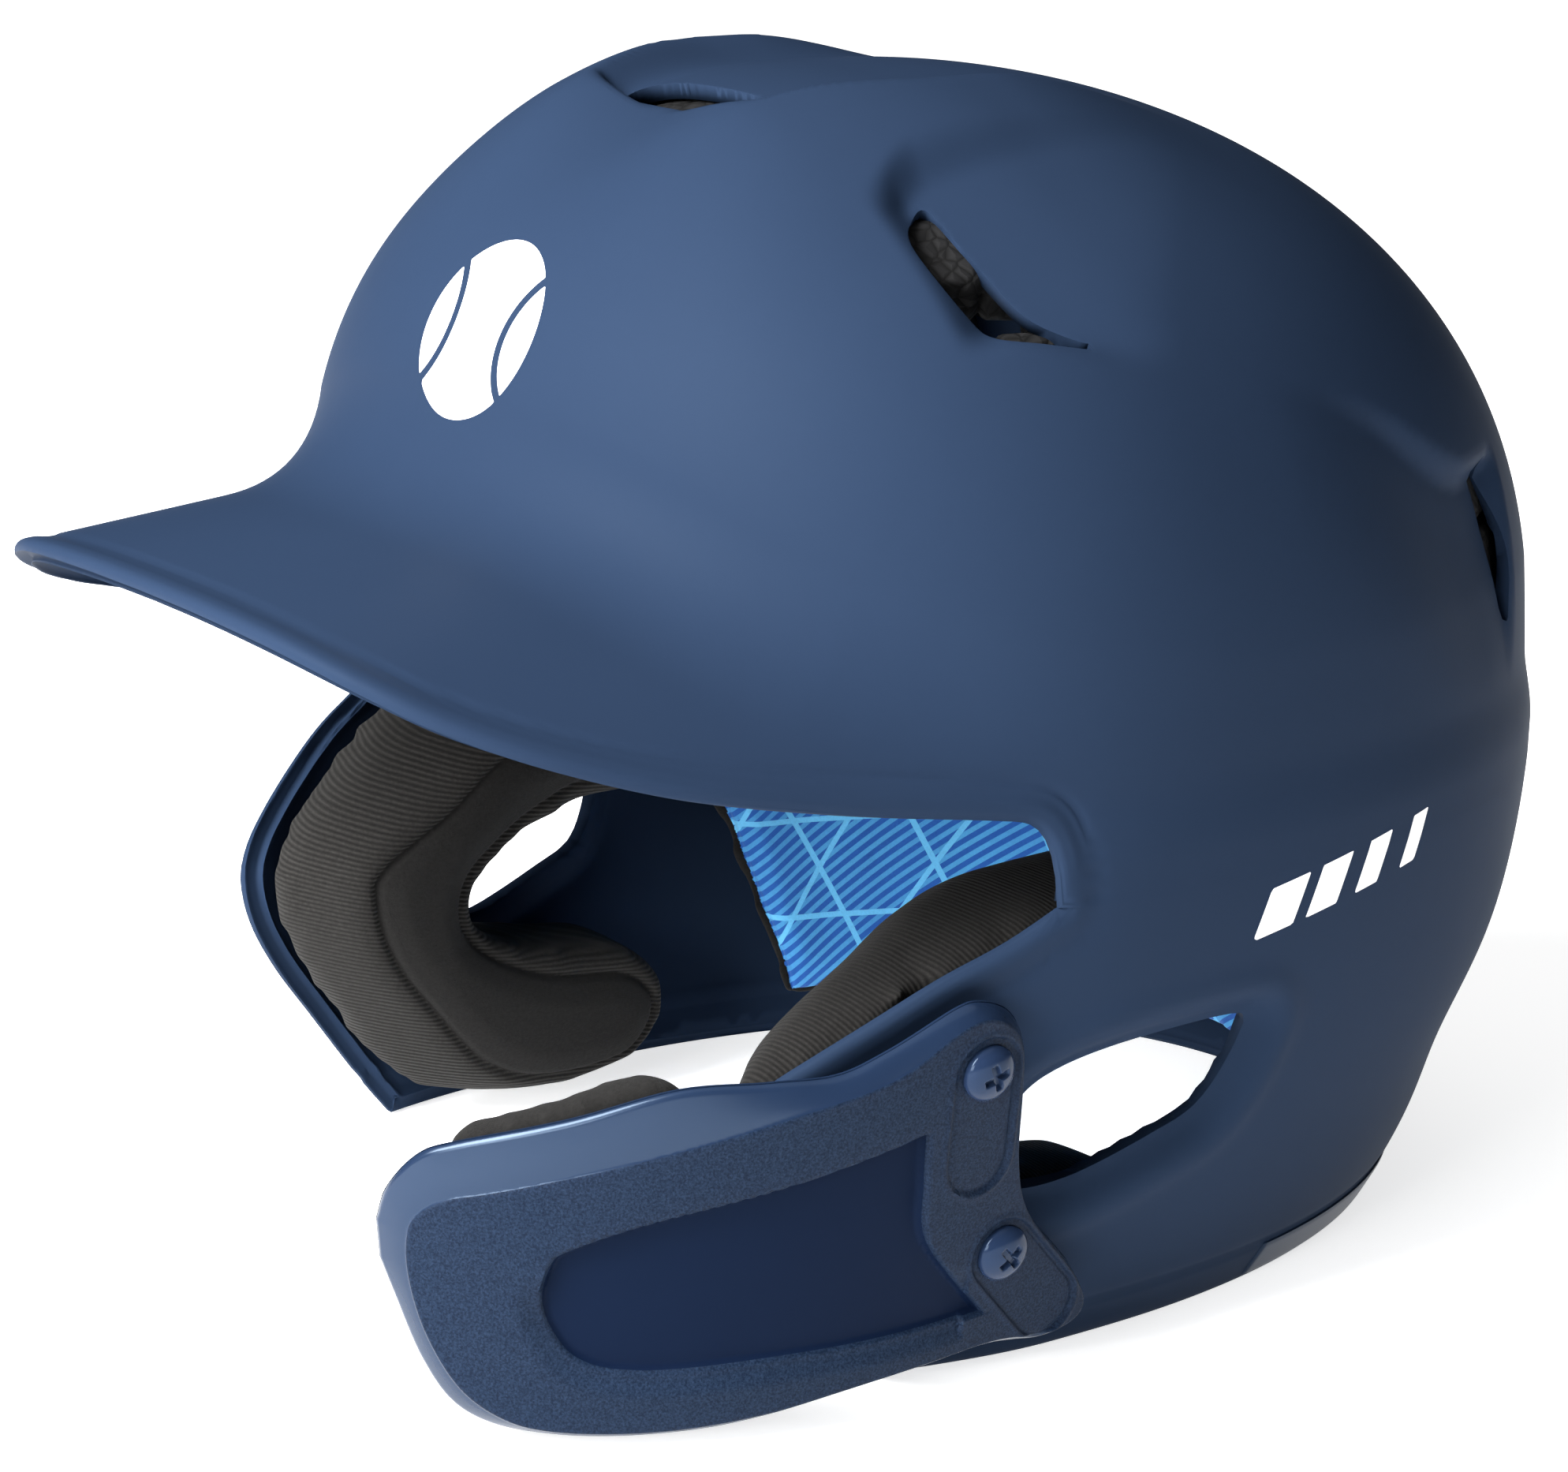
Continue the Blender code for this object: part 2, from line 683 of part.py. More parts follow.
def build_shell():
    shell = add_object("shell", shell_half(), SHELL_NAVY)
    mirror = shell.modifiers.new("mirror", "MIRROR")
    mirror.merge_threshold = 0.00009
    thicken(shell, SHELL_THICKNESS)

    floor = bpy.data.meshes.new("floor_cutter")
    block = bmesh.new()
    bmesh.ops.create_cube(block, size=1.0)
    bmesh.ops.scale(block, vec=(0.4, 0.4, 0.04), verts=block.verts)
    bmesh.ops.translate(block, vec=(0.0, 0.0, -0.02), verts=block.verts)
    block.to_mesh(floor)
    block.free()
    boolean(shell, add_object("floor_cutter", floor))

    ears = plate_from_outline("ear_hole_cutter", closed_curve(EAR_HOLE, 2), 0.4, side_plane(0.0))
    boolean(shell, ears)

    (x, y), (wide, tall) = TOP_VENT
    top = plate_from_outline(
        "top_vent_cutter",
        stadium(wide, tall, 5),
        0.03,
        frame_matrix((x, y, 0.2165), (1, 0, 0), (0, -0.35, 1)),
    )
    boolean(shell, top)
    for side, name in ((1, "left"), (-1, "right")):
        start = Vector((side * SIDE_VENT_START[0], *SIDE_VENT_START[1:]))
        end = Vector((side * SIDE_VENT_END[0], *SIDE_VENT_END[1:]))
        middle = (start + end) / 2
        vent = plate_from_outline(
            name + "_vent_cutter",
            stadium((end - start).length, SIDE_VENT_WIDTH, 5),
            0.04,
            frame_matrix(middle, end - start, outward(middle)),
        )
        boolean(shell, vent)
        centre = (side * REAR_VENT[0], REAR_VENT[1], REAR_VENT[2])
        rear = plate_from_outline(
            name + "_rear_vent_cutter",
            stadium(REAR_VENT_SIZE[1], REAR_VENT_SIZE[0], 5),
            0.04,
            frame_matrix(centre, (side * 0.1, -0.25, 1), outward(centre)),
        )
        boolean(shell, rear)
    for name, place in hardware_places():
        seat = frame_matrix(place, GUARD_AHEAD, GUARD_NORMAL)
        hole = turned(
            name + "_nut_hole_cutter",
            ((0.0, 0.03), (NUT_BARREL_RADIUS + 0.0003, 0.03), (NUT_BARREL_RADIUS + 0.0003, -0.03), (0.0, -0.03)),
            seat,
        )
        boolean(shell, hole)
    smooth(shell)


def build_rear_trim():
    """A moulded edge band that stands proud of the shell round the nape."""
    start = wall_angle(TRIM_START_Y, 0.0)
    levels = [TRIM_HEIGHT * k / 2 for k in range(3)]
    rows = []
    for z in levels:
        row = []
        for j in range(37):
            phi = start + (2 * math.pi - 2 * start) * j / 36
            row.append(wall_point(phi, z, -CLEARANCE - TRIM_THICKNESS))
        rows.append(row)
    trim = add_object("rear_trim", grid_mesh("rear_trim", rows), TRIM_NAVY)
    thicken(trim, TRIM_THICKNESS)
    smooth(trim)


def liner_patch(name, finish, angles, heights, depth, thickness, counts):
    """A block of liner between two plan angles and two heights, following the shell."""
    columns, rows = counts
    grid = []
    for i in range(rows + 1):
        z = heights[0] + (heights[1] - heights[0]) * i / rows
        line = []
        for j in range(columns + 1):
            phi = math.radians(angles[0] + (angles[1] - angles[0]) * j / columns)
            line.append(wall_point(phi, z, depth))
        grid.append(line)
    patch = add_object(name, grid_mesh(name, grid), finish)
    thicken(patch, thickness)
    round_edges(patch, 0.2 * thickness, 1, 60)
    smooth(patch)


def crown_patch(name, finish, edge_z, depth, thickness, scallop=0.0):
    """A cap of liner under the crown, down to the height edge_z."""
    last = tilt_at(edge_z)
    mesh = bmesh.new()
    pole = mesh.verts.new((0.0, section(CROWN_Z)[3], CROWN_Z - depth))
    rings = []
    for row in range(1, 5):
        ring = []
        for j in range(24):
            phi = 2 * math.pi * j / 24
            reach = last * (1.0 - scallop * (0.5 - 0.5 * math.cos(4 * phi)))
            ring.append(mesh.verts.new(dome_point(phi, reach * row / 4, depth)))
        rings.append(ring)
    for j in range(24):
        mesh.faces.new((pole, rings[0][j], rings[0][(j + 1) % 24]))
        for inner, outer in zip(rings, rings[1:]):
            mesh.faces.new((inner[j], outer[j], outer[(j + 1) % 24], inner[(j + 1) % 24]))
    bmesh.ops.recalc_face_normals(mesh, faces=mesh.faces)
    mesh.faces.ensure_lookup_table()
    if mesh.faces[0].normal.z < 0:
        bmesh.ops.reverse_faces(mesh, faces=mesh.faces)
    data = bpy.data.meshes.new(name)
    mesh.to_mesh(data)
    mesh.free()
    patch = add_object(name, data, finish)
    thicken(patch, thickness)
    smooth(patch)


def build_liner():
    """Energy-absorbing foam blocks against the shell, then comfort pads inside them."""
    sides = FOAM_DEPTH
    liner_patch("front_foam", FOAM_BLACK, (-38, 38), (0.134, FOAM_TOP_Z), sides, FRONT_FOAM, (8, 4))
    liner_patch("rear_foam", FOAM_BLACK, (142, 218), (0.098, FOAM_TOP_Z), sides, REAR_FOAM, (8, 5))
    liner_patch("nape_foam", FOAM_BLACK, (106, 254), (0.014, 0.095), sides, REAR_FOAM, (14, 6))
    liner_patch("left_foam", FOAM_BLACK, (43, 137), (0.113, FOAM_TOP_Z), sides, SIDE_FOAM, (10, 5))
    liner_patch("right_foam", FOAM_BLACK, (-137, -43), (0.113, FOAM_TOP_Z), sides, SIDE_FOAM, (10, 5))
    crown_patch("crown_foam", FOAM_BLACK, CROWN_FOAM_EDGE_Z, FOAM_DEPTH, CROWN_FOAM)

    inner = FOAM_DEPTH + GAP
    side_depth = inner + SIDE_FOAM + CURVE_GAP
    rear_depth = inner + REAR_FOAM + CURVE_GAP
    crown_depth = inner + CROWN_FOAM + CROWN_GAP
    liner_patch("forehead_pad", PAD_BLACK, (-34, 34), (0.138, 0.172), inner + FRONT_FOAM, FOREHEAD_PAD, (8, 3))
    liner_patch("rear_pad", LINER_BLUE, (97, 263), (0.010, 0.092), rear_depth, REAR_PAD, (14, 6))
    liner_patch("left_side_pad", PAD_BLACK, (60, 118), (0.116, 0.160), side_depth, SIDE_PAD, (6, 3))
    liner_patch("right_side_pad", PAD_BLACK, (-118, -60), (0.116, 0.160), side_depth, SIDE_PAD, (6, 3))
    crown_patch("crown_pad", PAD_BLACK, CROWN_PAD_EDGE_Z, crown_depth, CROWN_PAD, CROWN_PAD_SCALLOP)


def loft(name, rings, finish=None):
    """A closed body through rings of points, with flat ends."""
    mesh = bmesh.new()
    rows = [[mesh.verts.new(point) for point in ring] for ring in rings]
    for first, second in zip(rows, rows[1:]):
        for j in range(len(first)):
            mesh.faces.new((first[j - 1], first[j], second[j], second[j - 1]))
    mesh.faces.new(rows[0][::-1])
    mesh.faces.new(rows[-1])
    bmesh.ops.recalc_face_normals(mesh, faces=mesh.faces)
    data = bpy.data.meshes.new(name)
    mesh.to_mesh(data)
    mesh.free()
    return add_object(name, data, finish)


def envelope(name, depth, low, high, rows=10, columns=40):
    """The closed body inside the wall at a depth, between two heights."""
    heights = [low + (high - low) * i / rows for i in range(rows + 1)]
    angles = [2 * math.pi * j / columns for j in range(columns)]
    return loft(name, [[wall_point(phi, z, depth) for phi in angles] for z in heights])


def build_ear_pads():
    """C-shaped cushions inside the flaps, open round the ear."""
    bound = envelope("ear_pad_envelope", EAR_PAD_DEPTH, -0.01, 0.12)
    face = closed_curve(EAR_PAD_OUTLINE, 2)
    on_shell = closed_curve(EAR_PAD_ON_SHELL, 2)
    for side, name, inner_x in ((1, "left_ear_pad", LEFT_PAD_INNER_X), (-1, "right_ear_pad", RIGHT_PAD_INNER_X)):
        sections = ((inner_x, face), (EAR_PAD_SHELL_X, on_shell), (HALF_WIDTH, on_shell))
        rings = [[(side * x, y, z) for y, z in outline] for x, outline in sections]
        pad = loft(name, rings, PAD_BLACK)
        boolean(pad, bound, "INTERSECT")
        if side > 0:
            for screw, place in hardware_places():
                seat = frame_matrix(place, GUARD_AHEAD, GUARD_NORMAL)
                depth = flap_depth(place)
                wide = NUT_FLANGE_RADIUS + 0.0015
                pocket = ((0.0, -depth), (wide, -depth), (wide, -depth - 0.014), (0.0, -depth - 0.014))
                boolean(pad, turned(screw + "_pocket_cutter", pocket, seat))
        smooth(pad)


def face_outwards(made):
    """Turns a sheet's faces to the guard's outer side."""
    mesh = bmesh.new()
    mesh.from_mesh(made.data)
    mesh.faces.ensure_lookup_table()
    if mesh.faces[0].normal.dot(GUARD_NORMAL) < 0:
        bmesh.ops.reverse_faces(mesh, faces=mesh.faces)
    mesh.to_mesh(made.data)
    mesh.free()


def put_origin(made, place):
    """Puts an object's origin on its joint's axis and leaves its shape where it is."""
    made.data.transform(Matrix.Translation(-place))
    made.location = place


def build_jaw_guard():
    top = smooth_path(GUARD_TOP, 44)
    bottom = smooth_path(GUARD_BOTTOM, 44)
    rows = []
    for i in range(9):
        share = i / 8
        rows.append([guard_point(*(b + (t - b) * share)) for t, b in zip(top, bottom)])
    guard = add_object("jaw_guard", grid_mesh("jaw_guard", rows), GUARD_NAVY)
    face_outwards(guard)
    thicken(guard, GUARD_THICKNESS)
    plane = frame_matrix(guard_point(0.0, 0.0), GUARD_AHEAD, -GUARD_NORMAL)
    for name, screw in (("upper_slot_cutter", (0.0, 0.0)), ("lower_slot_cutter", LOWER_SCREW)):
        boolean(guard, plate_from_outline(name, arc_slot(screw, SLOT_WIDTH), 0.02, plane))
    smooth(guard)

    first, last = GUARD_PAD_AHEAD
    rows = []
    for i in range(4):
        line = []
        for j in range(13):
            ahead = first + (last - first) * j / 12
            upper = GUARD_PAD_TOP[0] + (GUARD_PAD_TOP[1] - GUARD_PAD_TOP[0]) * j / 12
            up = upper - GUARD_PAD_HEIGHT * (1 - i / 3)
            line.append(guard_point(ahead, up, GUARD_THICKNESS + 0.0005))
        rows.append(line)
    pad = add_object("jaw_guard_pad", grid_mesh("jaw_guard_pad", rows), PAD_BLACK)
    face_outwards(pad)
    thicken(pad, GUARD_PAD_THICKNESS)
    smooth(pad)
    for made in (guard, pad):
        put_origin(made, guard_point(GUARD_PIVOT, 0.0))


def flap_depth(place):
    """How far along the guard's normal the flap's outer face lies under this place."""
    depth = 0.0
    for _ in range(40):
        point = place - GUARD_NORMAL * depth
        depth += point.x - wall_x(point.y, point.z)
    return depth


def build_hardware():
    for name, place in hardware_places():
        seat = frame_matrix(place, GUARD_AHEAD, GUARD_NORMAL)
        flap = flap_depth(place)
        inner = flap + SHELL_THICKNESS / math.cos(math.radians(12))
        head = 0.0004
        tip = -(inner + FLANGE_DROP + NUT_FLANGE_THICKNESS + 0.001)
        radius = SCREW_HEAD_RADIUS
        turned(
            name + "_screw",
            (
                (0.0, head + SCREW_HEAD_HEIGHT),
                (0.45 * radius, head + 0.92 * SCREW_HEAD_HEIGHT),
                (0.80 * radius, head + 0.62 * SCREW_HEAD_HEIGHT),
                (radius, head + 0.15 * SCREW_HEAD_HEIGHT),
                (radius, head),
                (SCREW_RADIUS, head),
                (SCREW_RADIUS, tip),
                (0.0, tip),
            ),
            seat,
            SCREW_STEEL,
        )
        back = -(GUARD_THICKNESS + 0.0004)
        lift = SPACER_LIFT
        turned(
            name + "_spacer",
            (
                (BORE_RADIUS, back),
                (SPACER_RADIUS, back),
                (SPACER_RADIUS, -(flap - lift)),
                (BORE_RADIUS, -(flap - lift)),
                (BORE_RADIUS, back),
            ),
            seat,
            SPACER_RUBBER,
        )
        flange = -(inner + FLANGE_DROP)
        turned(
            name + "_t_nut",
            (
                (BORE_RADIUS, -(flap + 0.0004)),
                (NUT_BARREL_RADIUS, -(flap + 0.0004)),
                (NUT_BARREL_RADIUS, flange),
                (NUT_FLANGE_RADIUS, flange),
                (NUT_FLANGE_RADIUS, flange - NUT_FLANGE_THICKNESS),
                (BORE_RADIUS, flange - NUT_FLANGE_THICKNESS),
                (BORE_RADIUS, -(flap + 0.0004)),
            ),
            seat,
            NUT_STEEL,
        )


def centre_all():
    """Hangs every piece and cutter from one empty, which puts the middle of the length at Y = 0."""
    middle = bpy.data.objects.new("middle", None)
    middle.location.y = -MIDDLE_Y
    for collection in (PARTS, CUTTERS):
        for made in collection.objects:
            made.parent = middle
    PARTS.objects.link(middle)


build_shell()
build_rear_trim()
build_liner()
build_ear_pads()
build_jaw_guard()
build_hardware()
centre_all()
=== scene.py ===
"""Batting helmet with a jaw guard: the looks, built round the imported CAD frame.

Frame: metres, +Z up, -Y towards the brim's tip, +X towards the wearer's left.
Z = 0 is the plane of the bottom rim, which the helmet stands on. Shapes are worked out in
the shell's own frame, and moved by MIDDLE_Y into the CAD part's.
"""

import math

import bmesh
import bpy
import numpy as np
from mathutils import Matrix, Vector, kdtree


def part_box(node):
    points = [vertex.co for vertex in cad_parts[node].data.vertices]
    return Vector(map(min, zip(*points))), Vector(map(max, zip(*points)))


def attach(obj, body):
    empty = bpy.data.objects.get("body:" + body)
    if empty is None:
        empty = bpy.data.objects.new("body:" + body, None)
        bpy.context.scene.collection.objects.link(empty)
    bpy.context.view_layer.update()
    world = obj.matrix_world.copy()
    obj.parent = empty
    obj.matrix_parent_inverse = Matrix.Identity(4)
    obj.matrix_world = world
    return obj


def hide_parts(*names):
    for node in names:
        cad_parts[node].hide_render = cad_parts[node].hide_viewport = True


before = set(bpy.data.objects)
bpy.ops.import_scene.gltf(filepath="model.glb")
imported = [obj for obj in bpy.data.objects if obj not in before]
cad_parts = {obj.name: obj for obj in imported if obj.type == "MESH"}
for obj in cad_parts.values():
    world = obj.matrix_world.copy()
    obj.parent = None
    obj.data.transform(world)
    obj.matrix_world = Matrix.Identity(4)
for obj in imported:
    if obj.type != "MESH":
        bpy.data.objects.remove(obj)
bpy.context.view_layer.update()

# ---- Driving dimensions of the shell, the same as the CAD part's ----
HALF_WIDTH = 0.1139
FRONT_LENGTH = 0.0998
BACK_LENGTH = 0.1294
WIDEST_Z = 0.1202
CROWN_Z = 0.2225
CROWN_POWER = 2.22
SECTION_POWER = 2.26
BACK_POWER = 2.20
CENTRE_Y = 0.0181
CHEEK_LENGTH = 0.150
CHEEK_TOP_Z = 0.125
CHEEK_LOW_Z = 0.085
RIM_HALF_WIDTH = 0.0861
RIM_FRONT = 0.115
RIM_BACK = 0.1238
RIM_CENTRE_Y = 0.002
RIM_POWER = 2.35
RIM_BACK_POWER = 2.22
WAIST_Z = 0.036
WAIST_DEPTH = 0.005
WAIST_REACH = 0.016
SHELL_THICKNESS = 0.003
MIDDLE_Y = 0.00413
EDGE_THICKNESS = 0.0046
EDGE_ROUND = 0.0020
BRIM_OUTLINE = (
    (0.0000, -0.1405, 0.1412), (0.0200, -0.1407, 0.1411), (0.0400, -0.1400, 0.1401),
    (0.0520, -0.1376, 0.1380), (0.0625, -0.1330, 0.1345), (0.0725, -0.1250, 0.1295),
    (0.0825, -0.1112, 0.1235), (0.0915, -0.0910, 0.1170), (0.0985, -0.0660, 0.1115),
    (0.1035, -0.0430, 0.1075), (0.1060, -0.0258, 0.1050),
)
NOTCH_Z = 0.091
NOTCH_START = 0.93
VALLEY_SIDE_Z = 0.110
VALLEY_RISE = 0.040
VALLEY_POWER = 1.7
VALLEY_FILLET = 0.020
FLAP_OUTLINE = (
    (-0.0245, 0.0910), (-0.0340, 0.0852), (-0.0450, 0.0797), (-0.0550, 0.0733),
    (-0.0650, 0.0662), (-0.0710, 0.0610), (-0.0742, 0.0550), (-0.0730, 0.0460),
    (-0.0675, 0.0355), (-0.0585, 0.0230), (-0.0476, 0.0074), (-0.0420, 0.0000),
)

# ---- Openings: outlines as (y, z), (x, y) or (y, arc over the crown) ----
EAR_HOLE = (
    (-0.0270, 0.0490), (-0.0210, 0.0570), (-0.0060, 0.0615), (0.0200, 0.0625),
    (0.0225, 0.0580), (0.0165, 0.0455), (0.0060, 0.0405), (-0.0120, 0.0350),
    (-0.0240, 0.0350), (-0.0290, 0.0410),
)
TOP_VENT = (
    (-0.0170, -0.0285), (-0.0060, -0.0310), (0.0060, -0.0310), (0.0170, -0.0285),
    (0.0195, -0.0235), (0.0150, -0.0195), (0.0000, -0.0188), (-0.0150, -0.0195),
    (-0.0195, -0.0235),
)
SIDE_VENT = (
    (-0.0190, 0.0655), (-0.0235, 0.0675), (-0.0272, 0.0740), (-0.0262, 0.0855),
    (-0.0220, 0.0955), (-0.0150, 0.0992), (-0.0050, 0.1020), (-0.0100, 0.0975),
    (-0.0150, 0.0910), (-0.0175, 0.0780),
)
REAR_VENT = (
    (0.0905, 0.1520), (0.0925, 0.1440), (0.0945, 0.1340), (0.0955, 0.1240),
    (0.0975, 0.1225), (0.0980, 0.1340), (0.0960, 0.1450), (0.0930, 0.1535),
)

EAR_PAD_OUTLINE = (
    (-0.0190, 0.0830), (-0.0400, 0.0710), (-0.0560, 0.0610), (-0.0585, 0.0520),
    (-0.0540, 0.0380), (-0.0420, 0.0220), (-0.0300, 0.0100), (-0.0140, 0.0040),
    (0.0060, 0.0050), (0.0150, 0.0130), (0.0150, 0.0230), (0.0060, 0.0300),
    (-0.0120, 0.0330), (-0.0270, 0.0400), (-0.0320, 0.0480), (-0.0260, 0.0560),
    (-0.0060, 0.0660), (0.0260, 0.0690), (0.0340, 0.0760), (0.0280, 0.0850),
)
LEFT_PAD_INNER_X = 0.067
RIGHT_PAD_INNER_X = 0.064
PAD_FOOT_Z = 0.0005
PAD_SEAM_INSET = 0.0034
REAR_PAD_FIRST = math.radians(97.0)
REAR_PAD_BEND_Z = 0.066
REAR_PAD_RADIUS = 0.093
REAR_PAD_SLANT = 5.0  # radians of the wall for each metre under the bend

# ---- Jaw guard, in the plate's own frame: (ahead of, above) the upper screw ----
GUARD_LEAN = math.radians(9.0)
GUARD_SCREW = (0.1100, -0.0400, 0.0650)
GUARD_THICKNESS = 0.0036
GUARD_FLAT = -0.0026
GUARD_BEND_RADIUS = 0.108
LOWER_SCREW = (-0.0089, -0.0368)
GUARD_TOP = (
    (-0.0320, -0.0515), (-0.0268, -0.0438), (-0.0150, -0.0304), (-0.0113, -0.0192),
    (-0.0100, -0.0060), (-0.0087, 0.0037), (-0.0050, 0.0095), (0.0010, 0.0122),
    (0.0067, 0.0117), (0.0191, 0.0055), (0.0282, 0.0018), (0.0400, 0.0008),
    (0.0560, -0.0010), (0.0738, -0.0083), (0.0929, -0.0160), (0.1000, -0.0202),
    (0.1050, -0.0275), (0.1065, -0.0340),
)
GUARD_BOTTOM = (
    (-0.0308, -0.0560), (-0.0221, -0.0580), (-0.0097, -0.0565), (-0.0030, -0.0567),
    (0.0050, -0.0575), (0.0120, -0.0583), (0.0200, -0.0597), (0.0270, -0.0612),
    (0.0348, -0.0632), (0.0430, -0.0650), (0.0529, -0.0665), (0.0620, -0.0676),
    (0.0709, -0.0682), (0.0818, -0.0680), (0.0896, -0.0650), (0.0959, -0.0578),
    (0.1016, -0.0476), (0.1052, -0.0410),
)
GUARD_FACE = (
    (0.0993, -0.0356), (0.0983, -0.0304), (0.0930, -0.0258), (0.0858, -0.0229),
    (0.0626, -0.0139), (0.0368, -0.0046), (0.0186, 0.0014), (0.0075, 0.0085),
    (0.0012, 0.0102), (-0.0042, 0.0076), (-0.0072, 0.0030), (-0.0085, -0.0060),
    (-0.0098, -0.0190), (-0.0137, -0.0300), (-0.0254, -0.0438), (-0.0300, -0.0515),
    (-0.0280, -0.0552), (-0.0215, -0.0562), (-0.0097, -0.0548), (0.0050, -0.0558),
    (0.0200, -0.0580), (0.0348, -0.0614), (0.0529, -0.0646), (0.0709, -0.0662),
    (0.0800, -0.0650), (0.0878, -0.0605), (0.0942, -0.0520), (0.0980, -0.0430),
)
GUARD_PANEL = (
    (0.0755, -0.0416), (0.0747, -0.0354), (0.0716, -0.0314), (0.0572, -0.0243),
    (0.0330, -0.0166), (0.0120, -0.0101), (0.0105, -0.0098), (0.0103, -0.0113),
    (0.0095, -0.0200), (0.0074, -0.0315), (-0.0057, -0.0471), (-0.0066, -0.0483),
    (-0.0050, -0.0484), (0.0315, -0.0510), (0.0570, -0.0539), (0.0678, -0.0527),
    (0.0733, -0.0474),
)
GUARD_RECESSES = (((0.0, 0.0), (-0.0005, -0.0167)), ((-0.0089, -0.0368), (-0.0206, -0.0497)))
RECESS_RADIUS = 0.0063
GUARD_COLUMNS = 320
GUARD_ROWS = 140

# ---- Guard hardware, rear trim ----
SCREW_HEAD_RADIUS = 0.0052
SCREW_HEAD_HEIGHT = 0.0027
SCREW_RADIUS = 0.0023
SPACER_RADIUS = 0.0065
SPACER_LIFT = 0.0030
NUT_FLANGE_RADIUS = 0.0075
NUT_FLANGE_THICKNESS = 0.0012
NUT_BARREL_RADIUS = 0.0036
BORE_RADIUS = 0.0026
FLANGE_DROP = 0.0036
TRIM_START_Y = 0.043
TRIM_HEIGHT = 0.0075
TRIM_THICKNESS = 0.0018
TRIM_GAP = 0.0004
TRIM_COLUMNS = 420
TRIM_ROWS = 14

# ---- Plain marks that stand for the decoration ----
FRONT_MARK = (0.0015, 0.1790, 0.0165)  # x, z and radius of the disc on the forehead
SIDE_MARK = ((0.0180, 0.0830), (0.0640, 0.0915), 0.0090)  # first and last (y, z), and height

# ---- Camera: azimuth, elevation and roll in degrees, and where it looks ----
CAMERA_ANGLES = (53.15, 13.96, 0.96)
CAMERA_TARGET = (0.0, -MIDDLE_Y, 0.110)
CAMERA_DISTANCE = 0.83216

# ---- Grid of the dense shell ----
COLUMNS_FRONT = 104
COLUMNS_SIDE = 132
DOME_ROWS = 96
FILLET_ROWS = 16
BRIM_ROWS = 30
FLAP_ROWS = 62
FLAP_COLUMNS = 30


# ---- Shapes shared with the CAD part ----
def fade(value, low, high):
    """0 below low, 1 above high, and a smooth step between."""
    t = min(max((value - low) / (high - low), 0.0), 1.0)
    return t * t * (3.0 - 2.0 * t)


def section(z, depth=0.0):
    """Half width, front and back lengths, centre and both powers of the section at height z,
    for the surface that lies the given depth inside the outer one."""
    crown = CROWN_Z - depth
    q = min(max((z - WIDEST_Z) / (crown - WIDEST_Z), 0.0), 1.0)
    scale = (1.0 - q**CROWN_POWER) ** (1.0 / CROWN_POWER)
    w = min(max((WIDEST_Z - z) / WIDEST_Z, 0.0), 1.3) ** 2
    cheek = 1.0 - fade(z, CHEEK_LOW_Z, CHEEK_TOP_Z)
    front = FRONT_LENGTH + (CHEEK_LENGTH - FRONT_LENGTH) * cheek
    waist = WAIST_DEPTH * math.exp(-(((z - WAIST_Z) / WAIST_REACH) ** 2))
    return (
        (HALF_WIDTH - depth) * scale * (1 - w) + (RIM_HALF_WIDTH - depth) * w,
        (front - depth) * scale * (1 - w) + (RIM_FRONT - depth) * w,
        (BACK_LENGTH - depth) * scale * (1 - w) + (RIM_BACK - depth) * w - waist,
        (CENTRE_Y - 0.1 * (z - WIDEST_Z)) * (1 - w) + RIM_CENTRE_Y * w,
        SECTION_POWER * (1 - w) + RIM_POWER * w,
        BACK_POWER * (1 - w) + RIM_BACK_POWER * w,
    )


def wall_point(phi, z, depth=0.0):
    """The point of the wall at plan angle phi, 0 at the front and pi at the back."""
    width, front, back, centre, front_power, back_power = section(z, depth)
    side, ahead = math.sin(phi), math.cos(phi)
    length, power = (front, front_power) if ahead > 0 else (back, back_power)
    x = math.copysign(width * abs(side) ** (2.0 / power), side)
    y = centre - math.copysign(length * abs(ahead) ** (2.0 / power), ahead)
    return Vector((x, y, z))


def section_at(y, z):
    """Half width and centre of the section, and its length and power on this side of the centre."""
    width, front, back, centre, front_power, back_power = section(z)
    length, power = (front, front_power) if y < centre else (back, back_power)
    return width, centre, length, power


def wall_x(y, z):
    """The wall's half width at a place seen from the side."""
    width, centre, length, power = section_at(y, z)
    share = min(abs(y - centre) / length, 1.0)
    return width * (1.0 - share**power) ** (1.0 / power)


def wall_angle(y, z):
    """The plan angle of the wall point at this y and z."""
    _, centre, length, power = section_at(y, z)
    share = min(abs(y - centre) / length, 1.0) ** (power / 2.0)
    angle = math.acos(share)
    return angle if y < centre else math.pi - angle


def dome_point(phi, tilt):
    """A point over the widest section: tilt is 0 at the crown and pi / 2 at the widest section."""
    z = WIDEST_Z + (CROWN_Z - WIDEST_Z) * math.cos(tilt) ** (2.0 / CROWN_POWER)
    return wall_point(phi, z)


def tilt_at(z):
    """The tilt at which dome_point reaches this height."""
    share = min(max((z - WIDEST_Z) / (CROWN_Z - WIDEST_Z), 0.0), 1.0)
    return math.acos(share ** (CROWN_POWER / 2.0))


NOTCH_ANGLE = wall_angle(FLAP_OUTLINE[0][0], NOTCH_Z)


def valley_z(phi):
    """Height of the valley between the dome and the brim, or the ledge along the side."""
    return VALLEY_SIDE_Z + VALLEY_RISE * max(math.cos(phi), 0.0) ** VALLEY_POWER


